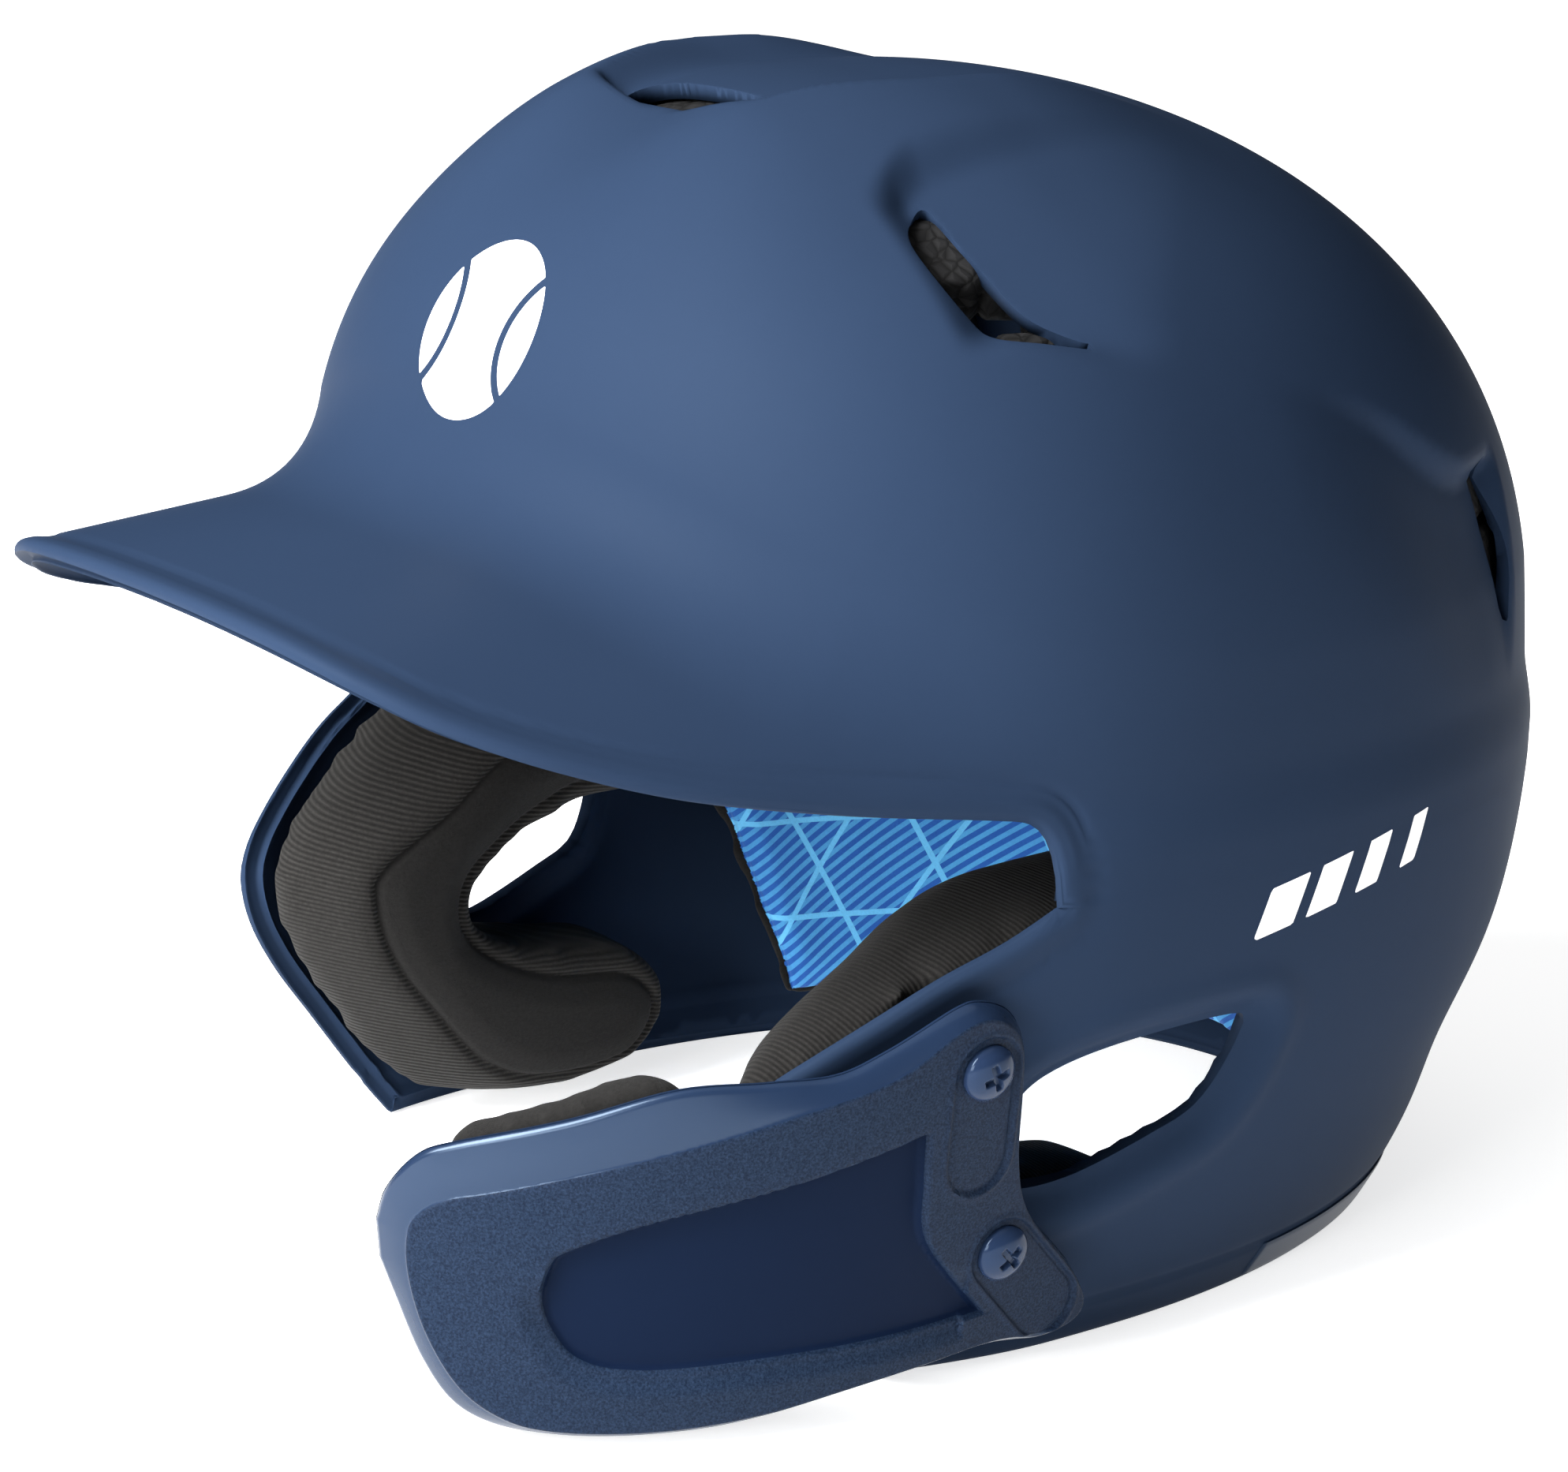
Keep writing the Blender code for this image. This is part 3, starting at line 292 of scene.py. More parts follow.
def brim_edge(phi):
    """The brim's edge in the plan direction phi, from its tip to the notch."""
    share = min(phi / NOTCH_ANGLE, 1.0)
    at = np.linspace(0.0, 1.0, len(BRIM_CURVE))
    place = Vector([np.interp(share, at, BRIM_CURVE[:, k]) for k in range(3)])
    turn = max((share - NOTCH_START) / (1.0 - NOTCH_START), 0.0) ** 3
    place.z += (NOTCH_Z - BRIM_OUTLINE[-1][2]) * turn
    corner = wall_point(NOTCH_ANGLE, NOTCH_Z)
    return place.lerp(Vector((corner.x, corner.y, place.z)), share**12)


def brim_column(phi):
    """Points down one column of the dome: crown side first, then valley and brim."""
    valley = valley_z(phi)
    start_z = valley + VALLEY_FILLET
    last_tilt = tilt_at(start_z)
    points = [dome_point(phi, last_tilt * row / DOME_ROWS) for row in range(1, DOME_ROWS + 1)]
    start = wall_point(phi, start_z)
    bend = wall_point(phi, valley)
    edge = brim_edge(phi) if phi < NOTCH_ANGLE else wall_point(phi, NOTCH_Z)
    reach = (edge - bend).length
    end = bend + (edge - bend) * min(0.5, VALLEY_FILLET / reach)
    for row in range(1, FILLET_ROWS + 1):
        t = row / FILLET_ROWS
        points.append(start * (1 - t) ** 2 + bend * 2 * t * (1 - t) + end * t * t)
    for row in range(1, BRIM_ROWS + 1):
        points.append(end.lerp(edge, 1.0 - (1.0 - row / BRIM_ROWS) ** 1.7))
    return points


def spline_points(a, b, c, d, shares):
    """Points at these shares of the Catmull-Rom curve's part from b to c."""
    t = np.asarray(shares)[:, None]
    bend = (2 * a - 5 * b + 4 * c - d) * t**2 + (3 * b - a - 3 * c + d) * t**3
    return 0.5 * (2 * b + (c - a) * t + bend)


def smooth_path(points, count):
    """count + 1 points evenly spread along a Catmull-Rom curve through the given points."""
    given = np.array(points, dtype=float)
    padded = np.vstack([2 * given[0] - given[1], given, 2 * given[-1] - given[-2]])
    shares = np.linspace(0.0, 1.0, 24, endpoint=False)
    parts = [spline_points(*padded[i : i + 4], shares) for i in range(len(given) - 1)]
    dense = np.vstack([*parts, given[-1]])
    along = np.concatenate([[0.0], np.cumsum(np.linalg.norm(np.diff(dense, axis=0), axis=1))])
    at = np.linspace(0.0, along[-1], count + 1)
    return np.stack([np.interp(at, along, dense[:, k]) for k in range(given.shape[1])], axis=1)


BRIM_CURVE = smooth_path(BRIM_OUTLINE, 160)


def closed_curve(outline, per_point=6):
    """A closed Catmull-Rom curve through the outline's points."""
    given = np.array(outline, dtype=float)
    total = len(given)
    shares = [step / per_point for step in range(per_point)]
    parts = [
        spline_points(*(given[(i + k) % total] for k in (-1, 0, 1, 2)), shares) for i in range(total)
    ]
    return np.vstack(parts)


def outline_depth(points, outline):
    """How far each 2-D point lies inside a closed outline; negative outside it."""
    points = np.asarray(points, float)
    outline = np.asarray(outline, float)
    nearest = np.full(len(points), np.inf)
    inside = np.zeros(len(points), bool)
    for first, second in zip(outline, np.roll(outline, -1, axis=0)):
        edge = second - first
        share = np.clip(((points - first) @ edge) / max(edge @ edge, 1e-18), 0.0, 1.0)
        gap = np.linalg.norm(points - first - share[:, None] * edge, axis=1)
        nearest = np.minimum(nearest, gap)
        crosses = (first[1] > points[:, 1]) != (second[1] > points[:, 1])
        at = first[0] + (points[:, 1] - first[1]) * edge[0] / (edge[1] if edge[1] else 1e-18)
        inside ^= crosses & (points[:, 0] < at)
    return np.where(inside, nearest, -nearest)


# ---- Material building ----
NAVY_SHEEN = (0.60, 0.78, 1.0)
WHITE_SHEEN = (1.0, 1.0, 1.0)
RIB_PITCH = 0.0009
GRID_PITCH = 0.0195
GRID_WIDTH = 0.0011
STRIPE_PITCH = 0.0021
STRIPE_WIDTH = 0.0011
LINER_RADIUS = 0.088


class Finish:
    """A material whose nodes are added one by one."""

    def __init__(self, name):
        self.made = bpy.data.materials.new(name)
        self.made.use_nodes = True
        self.tree = self.made.node_tree
        self.surface = self.tree.nodes["Principled BSDF"]

    def node(self, kind, **settings):
        made = self.tree.nodes.new(kind)
        for key, value in settings.items():
            setattr(made, key, value)
        return made

    def link(self, source, target):
        self.tree.links.new(source, target)

    def set(self, **values):
        for key, value in values.items():
            self.surface.inputs[key.replace("_", " ")].default_value = value

    def feed(self, source, socket):
        self.link(source, self.surface.inputs[socket])

    def noise(self, scale, detail, roughness=0.55):
        place = self.node("ShaderNodeTexCoord")
        made = self.node("ShaderNodeTexNoise")
        made.inputs["Scale"].default_value = scale
        made.inputs["Detail"].default_value = detail
        made.inputs["Roughness"].default_value = roughness
        self.link(place.outputs["Object"], made.inputs["Vector"])
        return made.outputs["Fac"]

    def ramp(self, source, stops):
        made = self.node("ShaderNodeValToRGB")
        elements = made.color_ramp.elements
        while len(elements) < len(stops):
            elements.new(0.5)
        for element, (position, colour) in zip(elements, stops):
            element.position = position
            element.color = (*colour, 1.0)
        self.link(source, made.inputs["Fac"])
        return made.outputs["Color"]

    def math(self, operation, first, second=0.0):
        made = self.node("ShaderNodeMath", operation=operation)
        for socket, value in zip(made.inputs, (first, second)):
            if isinstance(value, (int, float)):
                socket.default_value = value
            else:
                self.link(value, socket)
        return made.outputs["Value"]

    def bump(self, height, strength, distance):
        made = self.node("ShaderNodeBump")
        made.inputs["Strength"].default_value = strength
        made.inputs["Distance"].default_value = distance
        self.link(height, made.inputs["Height"])
        return made.outputs["Normal"]

    def between(self, source, low, high):
        made = self.node("ShaderNodeMapRange")
        made.inputs["To Min"].default_value = low
        made.inputs["To Max"].default_value = high
        self.link(source, made.inputs["Value"])
        return made.outputs["Result"]


def satin_plastic(name, dark, light, roughness, grain, specular=0.3, tint=NAVY_SHEEN):
    """Moulded plastic with a fine orange-peel grain and slight unevenness in colour and gloss."""
    finish = Finish(name)
    broad = finish.noise(9.0, 5.0)
    fine = finish.noise(1400.0, 2.0)
    gloss = finish.noise(35.0, 6.0)
    finish.feed(finish.ramp(broad, ((0.3, dark), (0.7, light))), "Base Color")
    finish.feed(finish.between(gloss, roughness - 0.04, roughness + 0.05), "Roughness")
    finish.feed(finish.bump(fine, grain, 0.0002), "Normal")
    finish.set(Specular_IOR_Level=specular, Specular_Tint=(*tint, 1.0))
    return finish.made


def speckled_plastic(name, dark, light, roughness):
    """Moulded plastic with a fine sand-like texture."""
    finish = Finish(name)
    sand = finish.noise(2300.0, 3.0, 0.7)
    gloss = finish.noise(60.0, 4.0)
    finish.feed(finish.ramp(sand, ((0.38, dark), (0.66, light))), "Base Color")
    finish.feed(finish.between(gloss, roughness - 0.05, roughness + 0.05), "Roughness")
    finish.feed(finish.bump(sand, 0.35, 0.0003), "Normal")
    finish.set(Specular_IOR_Level=0.06)
    return finish.made


def knit(name, dark, light, ribs=None):
    """Knitted cloth. ribs is the direction across its ribs; without it the cloth is brushed. On ribbed
    cloth the colour is painted darker in the rib troughs and lighter on the crests, as painted shade and
    light.
    """
    finish = Finish(name)
    fuzz = finish.noise(1500.0, 6.0, 0.8)
    shade = finish.ramp(fuzz, ((0.30, dark), (0.72, light)))
    height = fuzz
    if ribs is not None:
        place = finish.node("ShaderNodeTexCoord")
        wave = finish.node("ShaderNodeVectorMath", operation="DOT_PRODUCT")
        finish.link(place.outputs["Object"], wave.inputs[0])
        wave.inputs[1].default_value = Vector(ribs).normalized()
        wobble = finish.math("MULTIPLY", finish.noise(60.0, 2.0), 0.0005)
        across = finish.math("ADD", wave.outputs["Value"], wobble)
        turns = finish.math("MULTIPLY", across, 2 * math.pi / RIB_PITCH)
        rib = finish.math("MULTIPLY", finish.math("ADD", finish.math("SINE", turns), 1.0), 0.5)
        # Painted shade in the rib troughs and painted light on the rib crests, following the rib bump.
        rib_shade = finish.between(rib, 0.45, 1.15)
        mix = finish.node("ShaderNodeVectorMath", operation="SCALE")
        finish.link(shade, mix.inputs[0])
        finish.link(rib_shade, mix.inputs["Scale"])
        shade = mix.outputs["Vector"]
        coarse = finish.math("MULTIPLY", rib, 0.6)
        height = finish.math("ADD", coarse, finish.math("MULTIPLY", fuzz, 0.35))
    finish.feed(shade, "Base Color")
    finish.feed(finish.bump(height, 0.8, 0.00035), "Normal")
    finish.set(Roughness=0.92, Specular_IOR_Level=0.12, Sheen_Weight=0.03, Sheen_Roughness=0.5)
    return finish.made


def bead_foam(name):
    """Moulded black bead foam: packed cells with a skin."""
    finish = Finish(name)
    place = finish.node("ShaderNodeTexCoord")
    cells = finish.node("ShaderNodeTexVoronoi", feature="DISTANCE_TO_EDGE")
    cells.inputs["Scale"].default_value = 330.0
    finish.link(place.outputs["Object"], cells.inputs["Vector"])
    seam = finish.between(cells.outputs["Distance"], 0.0, 3.0)
    shade = finish.ramp(seam, ((0.0, (0.003, 0.003, 0.003)), (0.5, (0.009, 0.009, 0.0095))))
    finish.feed(shade, "Base Color")
    finish.feed(finish.bump(seam, 0.6, 0.0005), "Normal")
    finish.set(Roughness=0.85, Specular_IOR_Level=0.12)
    return finish.made


def liner_blue(name):
    """Light blue cloth with fine slanting stripes and a triangular grid of pale lines."""
    finish = Finish(name)
    place = finish.node("ShaderNodeTexCoord")
    axes = finish.node("ShaderNodeSeparateXYZ")
    finish.link(place.outputs["Object"], axes.inputs[0])
    turn = finish.math("ARCTAN2", axes.outputs["X"], axes.outputs["Y"])
    around = finish.math("MULTIPLY", turn, LINER_RADIUS)
    up = axes.outputs["Z"]

    def slanted(angle):
        first = finish.math("MULTIPLY", around, math.cos(angle))
        return finish.math("ADD", first, finish.math("MULTIPLY", up, math.sin(angle)))

    def lines(angle, pitch, width):
        turns = finish.math("MULTIPLY", slanted(angle), 1.0 / pitch)
        share = finish.math("FRACT", finish.math("ADD", turns, 20.0))
        off = finish.math("ABSOLUTE", finish.math("SUBTRACT", share, 0.5))
        return finish.math("LESS_THAN", off, 0.5 * width / pitch)

    stripe = lines(math.radians(128), STRIPE_PITCH, STRIPE_WIDTH)
    upright, rising, falling = (lines(math.radians(a), GRID_PITCH, GRID_WIDTH) for a in (90, 30, 150))
    grid = finish.math("MAXIMUM", finish.math("MAXIMUM", upright, rising), falling)
    fuzz = finish.noise(1800.0, 5.0, 0.75)
    pale, deep = (0.075, 0.33, 0.62), (0.055, 0.25, 0.56)
    base = finish.ramp(finish.noise(22.0, 2.0), ((0.35, pale), (0.65, deep)))
    for mask, colour in ((stripe, (0.018, 0.095, 0.36)), (grid, (0.13, 0.47, 0.78))):
        mix = finish.node("ShaderNodeMix", data_type="RGBA")
        finish.link(mask, mix.inputs["Factor"])
        finish.link(base, mix.inputs[6])
        mix.inputs[7].default_value = (*colour, 1.0)
        base = mix.outputs[2]
    scale = finish.node("ShaderNodeVectorMath", operation="SCALE")
    finish.link(base, scale.inputs[0])
    finish.link(finish.between(fuzz, 0.75, 1.2), scale.inputs["Scale"])
    finish.feed(scale.outputs["Vector"], "Base Color")
    finish.feed(finish.bump(fuzz, 0.5, 0.0003), "Normal")
    finish.set(Roughness=0.9, Specular_IOR_Level=0.2, Sheen_Weight=0.1, Sheen_Roughness=0.5)
    return finish.made


def bare_steel(name):
    finish = Finish(name)
    shade = finish.ramp(finish.noise(90.0, 5.0), ((0.3, (0.42, 0.42, 0.43)), (0.7, (0.56, 0.56, 0.57))))
    finish.feed(shade, "Base Color")
    finish.feed(finish.between(finish.noise(300.0, 3.0), 0.25, 0.42), "Roughness")
    finish.set(Metallic=1.0)
    return finish.made


SHELL_NAVY = satin_plastic(
    "shell_navy", (0.0115, 0.0208, 0.0425), (0.0128, 0.0230, 0.0465), 0.56, 0.06, 0.03
)
MARK_WHITE = satin_plastic(
    "mark_white", (0.80, 0.80, 0.80), (0.84, 0.84, 0.84), 0.45, 0.04, tint=WHITE_SHEEN
)
TRIM_NAVY = satin_plastic(
    "trim_navy", (0.0075, 0.0155, 0.0347), (0.0087, 0.0180, 0.0397), 0.38, 0.06, 0.25
)
GUARD_GLOSS = satin_plastic(
    "guard_navy", (0.0070, 0.0140, 0.0330), (0.0080, 0.0160, 0.0370), 0.24, 0.03, 0.32
)
GUARD_SPECKLE = speckled_plastic("guard_face", (0.0030, 0.0070, 0.0175), (0.0105, 0.0205, 0.0430), 0.5)
# The sunk panel's own navy, made darker than the face round it as painted shade of the recess.
GUARD_PANEL_SHADE = satin_plastic(
    "guard_panel_shade", (0.0024, 0.0055, 0.0165), (0.0030, 0.0068, 0.0195), 0.45, 0.05, 0.03
)
SCREW_STEEL = satin_plastic(
    "screw_steel", (0.0100, 0.0185, 0.0430), (0.0115, 0.0215, 0.0500), 0.14, 0.01, 0.16
)
SPACER_RUBBER = satin_plastic(
    "spacer_rubber", (0.010, 0.010, 0.010), (0.014, 0.014, 0.014), 0.7, 0.25, 0.2, WHITE_SHEEN
)
FOAM_BLACK = bead_foam("foam_black")
KNIT_BRUSHED = knit("pad_black", (0.0035, 0.0033, 0.0031), (0.0130, 0.0125, 0.0120))
KNIT_RIBBED_FAR = knit(
    "pad_ribbed_right", (0.0090, 0.0085, 0.0078), (0.0250, 0.0240, 0.0225), (0.12, 0.10, 1.0)
)
KNIT_RIBBED_NEAR = knit(
    "pad_ribbed_left", (0.0070, 0.0066, 0.0062), (0.0210, 0.0200, 0.0190), (0.0, 0.89, 0.46)
)
LINER_BLUE = liner_blue("liner_blue")


NUT_STEEL = bare_steel("nut_steel")


# ---- Stage: camera, light and floor ----
def point_at(made, place, target):
    made.location = place
    made.rotation_euler = (Vector(target) - Vector(place)).to_track_quat("-Z", "Y").to_euler()


def build_camera():
    """The camera at the picture's viewing angle, 832 mm from a point above the rim's centre."""
    azimuth, elevation, roll = (math.radians(a) for a in CAMERA_ANGLES)
    level_out = math.cos(elevation)
    back = Vector((math.sin(azimuth) * level_out, -math.cos(azimuth) * level_out, math.sin(elevation)))
    level = Vector((math.cos(azimuth), math.sin(azimuth), 0.0))
    upright = back.cross(level)
    right = level * math.cos(roll) + upright * math.sin(roll)
    up = upright * math.cos(roll) - level * math.sin(roll)
    data = bpy.data.cameras.new("camera")
    data.lens = 99.6
    data.sensor_width = 36.0
    data.shift_x = -0.0068
    data.shift_y = -0.0540
    data.clip_start = 0.01
    data.clip_end = 50.0
    made = bpy.data.objects.new("camera", data)
    rotation = Matrix((right, up, back)).transposed().to_4x4()
    made.matrix_world = Matrix.Translation(Vector(CAMERA_TARGET) + back * CAMERA_DISTANCE) @ rotation
    bpy.context.scene.collection.objects.link(made)
    bpy.context.scene.camera = made


def area_light(name, place, target, size, power):
    data = bpy.data.lights.new(name, "AREA")
    data.shape = "RECTANGLE"
    data.size, data.size_y = size
    data.energy = power
    made = bpy.data.objects.new(name, data)
    point_at(made, place, target)
    bpy.context.scene.collection.objects.link(made)


def build_stage():
    world = bpy.data.worlds.new("studio")
    world.use_nodes = True
    world.node_tree.nodes["Background"].inputs["Color"].default_value = (0.95, 0.97, 1.0, 1.0)
    world.node_tree.nodes["Background"].inputs["Strength"].default_value = 0.03
    bpy.context.scene.world = world
    bpy.context.scene.view_settings.view_transform = "Standard"
    area_light("key", (-0.08, -1.42, 1.22), (0.0, -0.02, 0.12), (1.0, 0.9), 132.0)
    area_light("fill", (0.52, -1.60, 0.50), (0.0, 0.0, 0.08), (0.8, 0.5), 24.0)
    sun = bpy.data.lights.new("floor_wash", "SUN")
    sun.energy = 0.8
    sun.angle = math.radians(70)
    wash = bpy.data.objects.new("floor_wash", sun)
    bpy.context.scene.collection.objects.link(wash)

    mesh = bmesh.new()
    bmesh.ops.create_circle(mesh, cap_ends=True, segments=96, radius=40.0)
    data = bpy.data.meshes.new("floor")
    mesh.to_mesh(data)
    mesh.free()
    floor = bpy.data.objects.new("floor", data)
    floor.location.z = -0.0002
    bpy.context.scene.collection.objects.link(floor)
    finish = Finish("floor_paint")
    shade = finish.ramp(finish.noise(3.0, 3.0), ((0.2, (0.86, 0.86, 0.86)), (0.8, (0.89, 0.89, 0.89))))
    finish.feed(shade, "Base Color")
    finish.set(Roughness=0.9, Emission_Color=(1.0, 1.0, 1.0, 1.0), Emission_Strength=0.72)
    data.materials.append(finish.made)


def bridge(mesh, first, second):
    """Faces between two rows of vertices."""
    for i in range(len(first) - 1):
        mesh.faces.new((first[i], first[i + 1], second[i + 1], second[i]))


# ---- The shell ----
def base_half():
    """The outer sheet's half with x >= 0, open at x = 0."""
    mesh = bmesh.new()
    step_front = NOTCH_ANGLE / COLUMNS_FRONT
    step_side = (math.pi - NOTCH_ANGLE) / COLUMNS_SIDE
    angles = [step_front * j for j in range(COLUMNS_FRONT)]
    angles += [NOTCH_ANGLE + step_side * j for j in range(COLUMNS_SIDE + 1)]
    pole = mesh.verts.new((0.0, section(CROWN_Z)[3], CROWN_Z))
    upper = [[mesh.verts.new(point) for point in brim_column(phi)] for phi in angles]
    for column in (upper[0], upper[-1]):
        for vertex in column:
            vertex.co.x = 0.0
    for left, right in zip(upper, upper[1:]):
        mesh.faces.new((pole, left[0], right[0]))
        bridge(mesh, left, right)

    levels = [NOTCH_Z * (1.0 - k / FLAP_ROWS) ** 1.3 for k in range(1, FLAP_ROWS + 1)]
    lower = []
    for j in range(COLUMNS_SIDE + 1):
        column = [upper[COLUMNS_FRONT + j][-1]]
        for z in levels:
            first = wall_angle(FLAP_OUTLINE[0][0], z)
            column.append(mesh.verts.new(wall_point(first + (math.pi - first) * j / COLUMNS_SIDE, z)))
        lower.append(column)
    for vertex in lower[-1]:
        vertex.co.x = 0.0
    for left, right in zip(lower, lower[1:]):
        bridge(mesh, left, right)

    fine = smooth_path(FLAP_OUTLINE, 400)
    shares = [400 * (1.0 - (1.0 - k / FLAP_ROWS) ** 1.3) for k in range(FLAP_ROWS + 1)]
    outline = [[np.interp(at, range(401), fine[:, axis]) for axis in range(2)] for at in shares]
    behind = lower[0]
    for step in range(1, FLAP_COLUMNS + 1):
        share = 1.0 - (1.0 - step / FLAP_COLUMNS) ** 1.5
        ahead = [behind[0]]
        for k in range(1, FLAP_ROWS + 1):
            root = lower[0][k].co
            y = root.y + (outline[k][0] - root.y) * share
            z = root.z + (outline[k][1] - root.z) * share
            ahead.append(mesh.verts.new((wall_x(y, z), y, z)))
        mesh.faces.new((ahead[1], behind[1], behind[0]))
        bridge(mesh, ahead[1:], behind[1:])
        behind = ahead
    bmesh.ops.recalc_face_normals(mesh, faces=mesh.faces)
    crown_face = max(mesh.faces, key=lambda face: face.calc_center_median().z)
    if crown_face.normal.z < 0:
        bmesh.ops.reverse_faces(mesh, faces=mesh.faces)
    return mesh


def split_line(mesh, depth):
    """Makes edges along the line where depth passes 0. depth is a list, one value for each
    vertex in order, and what comes back gives every vertex's value."""
    value = dict(zip(mesh.verts, depth))
    crossing = [e for e in mesh.edges if value[e.verts[0]] * value[e.verts[1]] < 0]
    for edge in crossing:
        first, second = edge.verts
        if value[first] == 0.0 or value[second] == 0.0:
            continue
        share = value[first] / (value[first] - value[second])
        if share < 0.2 or share > 0.8:
            moved = first if share < 0.5 else second
            moved.co = first.co.lerp(second.co, share)
            value[moved] = 0.0
    for edge in crossing:
        first, second = edge.verts
        if value[first] * value[second] < 0:
            share = value[first] / (value[first] - value[second])
            _, made = bmesh.utils.edge_split(edge, first, share)
            value[made] = 0.0
    for face in list(mesh.faces):
        line = [i for i, v in enumerate(face.verts) if value[v] == 0.0]
        if len(line) == 2 and line[1] - line[0] not in (1, len(face.verts) - 1):
            bmesh.utils.face_split(face, face.verts[line[0]], face.verts[line[1]])
    return value


def cut_out(mesh, depth):
    """Removes the part of a sheet where depth is above 0, along a clean line."""
    value = split_line(mesh, depth)
    doomed = [face for face in mesh.faces if sum(value[v] for v in face.verts) > 0]
    bmesh.ops.delete(mesh, geom=doomed, context="FACES")


def paint(mesh, depth, finish):
    """Gives the part of a sheet where depth is above 0 the finish of this number."""
    value = split_line(mesh, depth)
    for face in mesh.faces:
        if sum(value[v] for v in face.verts) > 0:
            face.material_index = finish


def paint_mark(mesh, depth_of, finish):
    """Paints a mark on the shell, whose faces are first made finer and even where it lies."""
    depth = dict(zip(mesh.verts, depth_of(mesh)))
    near = [edge for edge in mesh.edges if all(depth[v] > -0.004 for v in edge.verts)]
    bmesh.ops.subdivide_edges(mesh, edges=near, cuts=3, use_grid_fill=True)
    inside = [v for v, value in zip(mesh.verts, depth_of(mesh)) if value > -0.0035]
    for _ in range(6):
        bmesh.ops.smooth_vert(
            mesh, verts=inside, factor=0.5, use_axis_x=True, use_axis_y=True, use_axis_z=True
        )
    paint(mesh, depth_of(mesh), finish)


FAR_AWAY = (9.0, 9.0)  # a 2-D place outside every outline
CROWN_ARC_RADIUS = 0.105


def crown_arc(x, z):
    """Distance over the crown from the centre line to a place, seen from the front."""
    return math.atan2(x, z - WIDEST_Z) * CROWN_ARC_RADIUS


def places(mesh, kind):
    """The vertices' 2-D places in the plane that an outline is drawn in."""
    if kind == "side":
        return [(v.co.y, v.co.z) if v.co.x > 0.03 else FAR_AWAY for v in mesh.verts]
    if kind == "top":
        return [(v.co.x, v.co.y) if v.co.z > 0.17 else FAR_AWAY for v in mesh.verts]
    return [(v.co.y, crown_arc(v.co.x, v.co.z)) if v.co.z > 0.15 else FAR_AWAY for v in mesh.verts]


def crown_rise(x, y):
    """The ridges on both sides of the top channel, and the channel between them."""
    across = abs(x)
    crest = 0.0262 + 0.0125 * fade(y, -0.034, 0.004)
    rise = 0.0056 * fade(y, -0.066, -0.030) * (1.0 - fade(y, 0.012, 0.064))
    if across >= crest:
        return rise * (1.0 - fade(across - crest, -0.003, 0.044))
    behind_lip = fade(y, -0.0335, -0.0270)
    foot = 0.0205 + 0.003 * fade(y, -0.020, 0.010)
    smooth_foot = crest - 0.026
    low = foot * behind_lip + smooth_foot * (1.0 - behind_lip)
    floor = -0.0010 * behind_lip * (1.0 - fade(y, 0.0, 0.05))
    climb = fade(across, low, crest + 0.0015)
    return floor + (rise - floor) * climb


def side_scoop(y, arc):
    """Depth of the scoop behind the side vent, under the dome."""
    if y < -0.034 or y > 0.06 or arc < 0.040 or arc > 0.125:
        return 0.0
    upper = 0.0540 + 0.006 * (1.0 - fade(y, -0.030, -0.015))
    from_upper = fade(arc, upper - 0.0010, upper + 0.0075)
    lower = 0.0985 + 0.008 * fade(y, -0.024, 0.004)
    from_lower = 1.0 - fade(arc, lower - 0.0060, lower + 0.0012)
    last = 0.042 - 0.030 * fade(arc, 0.056, 0.104)
    along = 1.0 - fade(y, -0.022, last)
    ahead = fade(y, -0.0300, -0.0215)
    return 0.0042 * from_upper * from_lower * along * ahead


def rear_scoop(y, z):
    """Depth of the panel that dips under the rear side vent's lip."""
    if y < 0.020 or y > 0.105 or z < 0.09 or z > 0.185:
        return 0.0
    line = 0.1755 - 0.0035 * fade(y, 0.026, 0.050) - 0.018 * fade(y, 0.040, 0.086)
    below = fade(line - z, -0.0006, 0.0035)
    fade_down = 1.0 - fade(line - z, 0.010, 0.045)
    along = fade(y, 0.026, 0.080)
    behind = 1.0 - fade(y - (0.0985 - 0.10 * max(z - 0.125, 0.0) ** 1.15), -0.003, 0.001)
    return 0.0042 * below * fade_down * along * behind


def ledge_step(point):
    """How far the wall under the ledge stands proud of the dome's line."""
    side = fade(point.y, -0.045, -0.005)
    under = 1.0 - fade(point.z, 0.0975, 0.1115)
    return 0.0016 * side * under


def rim_groove(z):
    """The moulded line just above the bottom rim."""
    return 0.0005 * math.exp(-(((z - 0.0088) / 0.0007) ** 2))


def edge_tree(points):
    """A search tree that finds the nearest of these points."""
    tree = kdtree.KDTree(len(points))
    for i, point in enumerate(points):
        tree.insert(point, i)
    tree.balance()
    return tree


def boundary_points(mesh, wanted):
    """Places spread along the free edges that are wanted, a few for each edge."""
    found = []
    for edge in mesh.edges:
        if edge.is_boundary and not all(abs(v.co.x) < 1e-6 for v in edge.verts):
            middle = (edge.verts[0].co + edge.verts[1].co) / 2
            if wanted(middle):
                for step in range(5):
                    found.append(edge.verts[0].co.lerp(edge.verts[1].co, step / 4))
    return found


def in_ear_area(point):
    """Whether a place is at the ear hole, on the half with x above 0."""
    return 0.026 < point.z < 0.070 and -0.036 < point.y < 0.030 and point.x > 0.03


def on_rolled_edge(point):
    """Brim, flap and bottom rim: every free edge but the vents' and the ear hole's."""
    return point.z < 0.146 and (point.y < 0.06 or point.z < 0.03) and not in_ear_area(point)


def round_over(gap, radius):
    """How far a rounded edge lies below the flat face at this distance from the edge."""
    if gap >= radius:
        return 0.0
    return radius - math.sqrt(radius**2 - (radius - gap) ** 2)


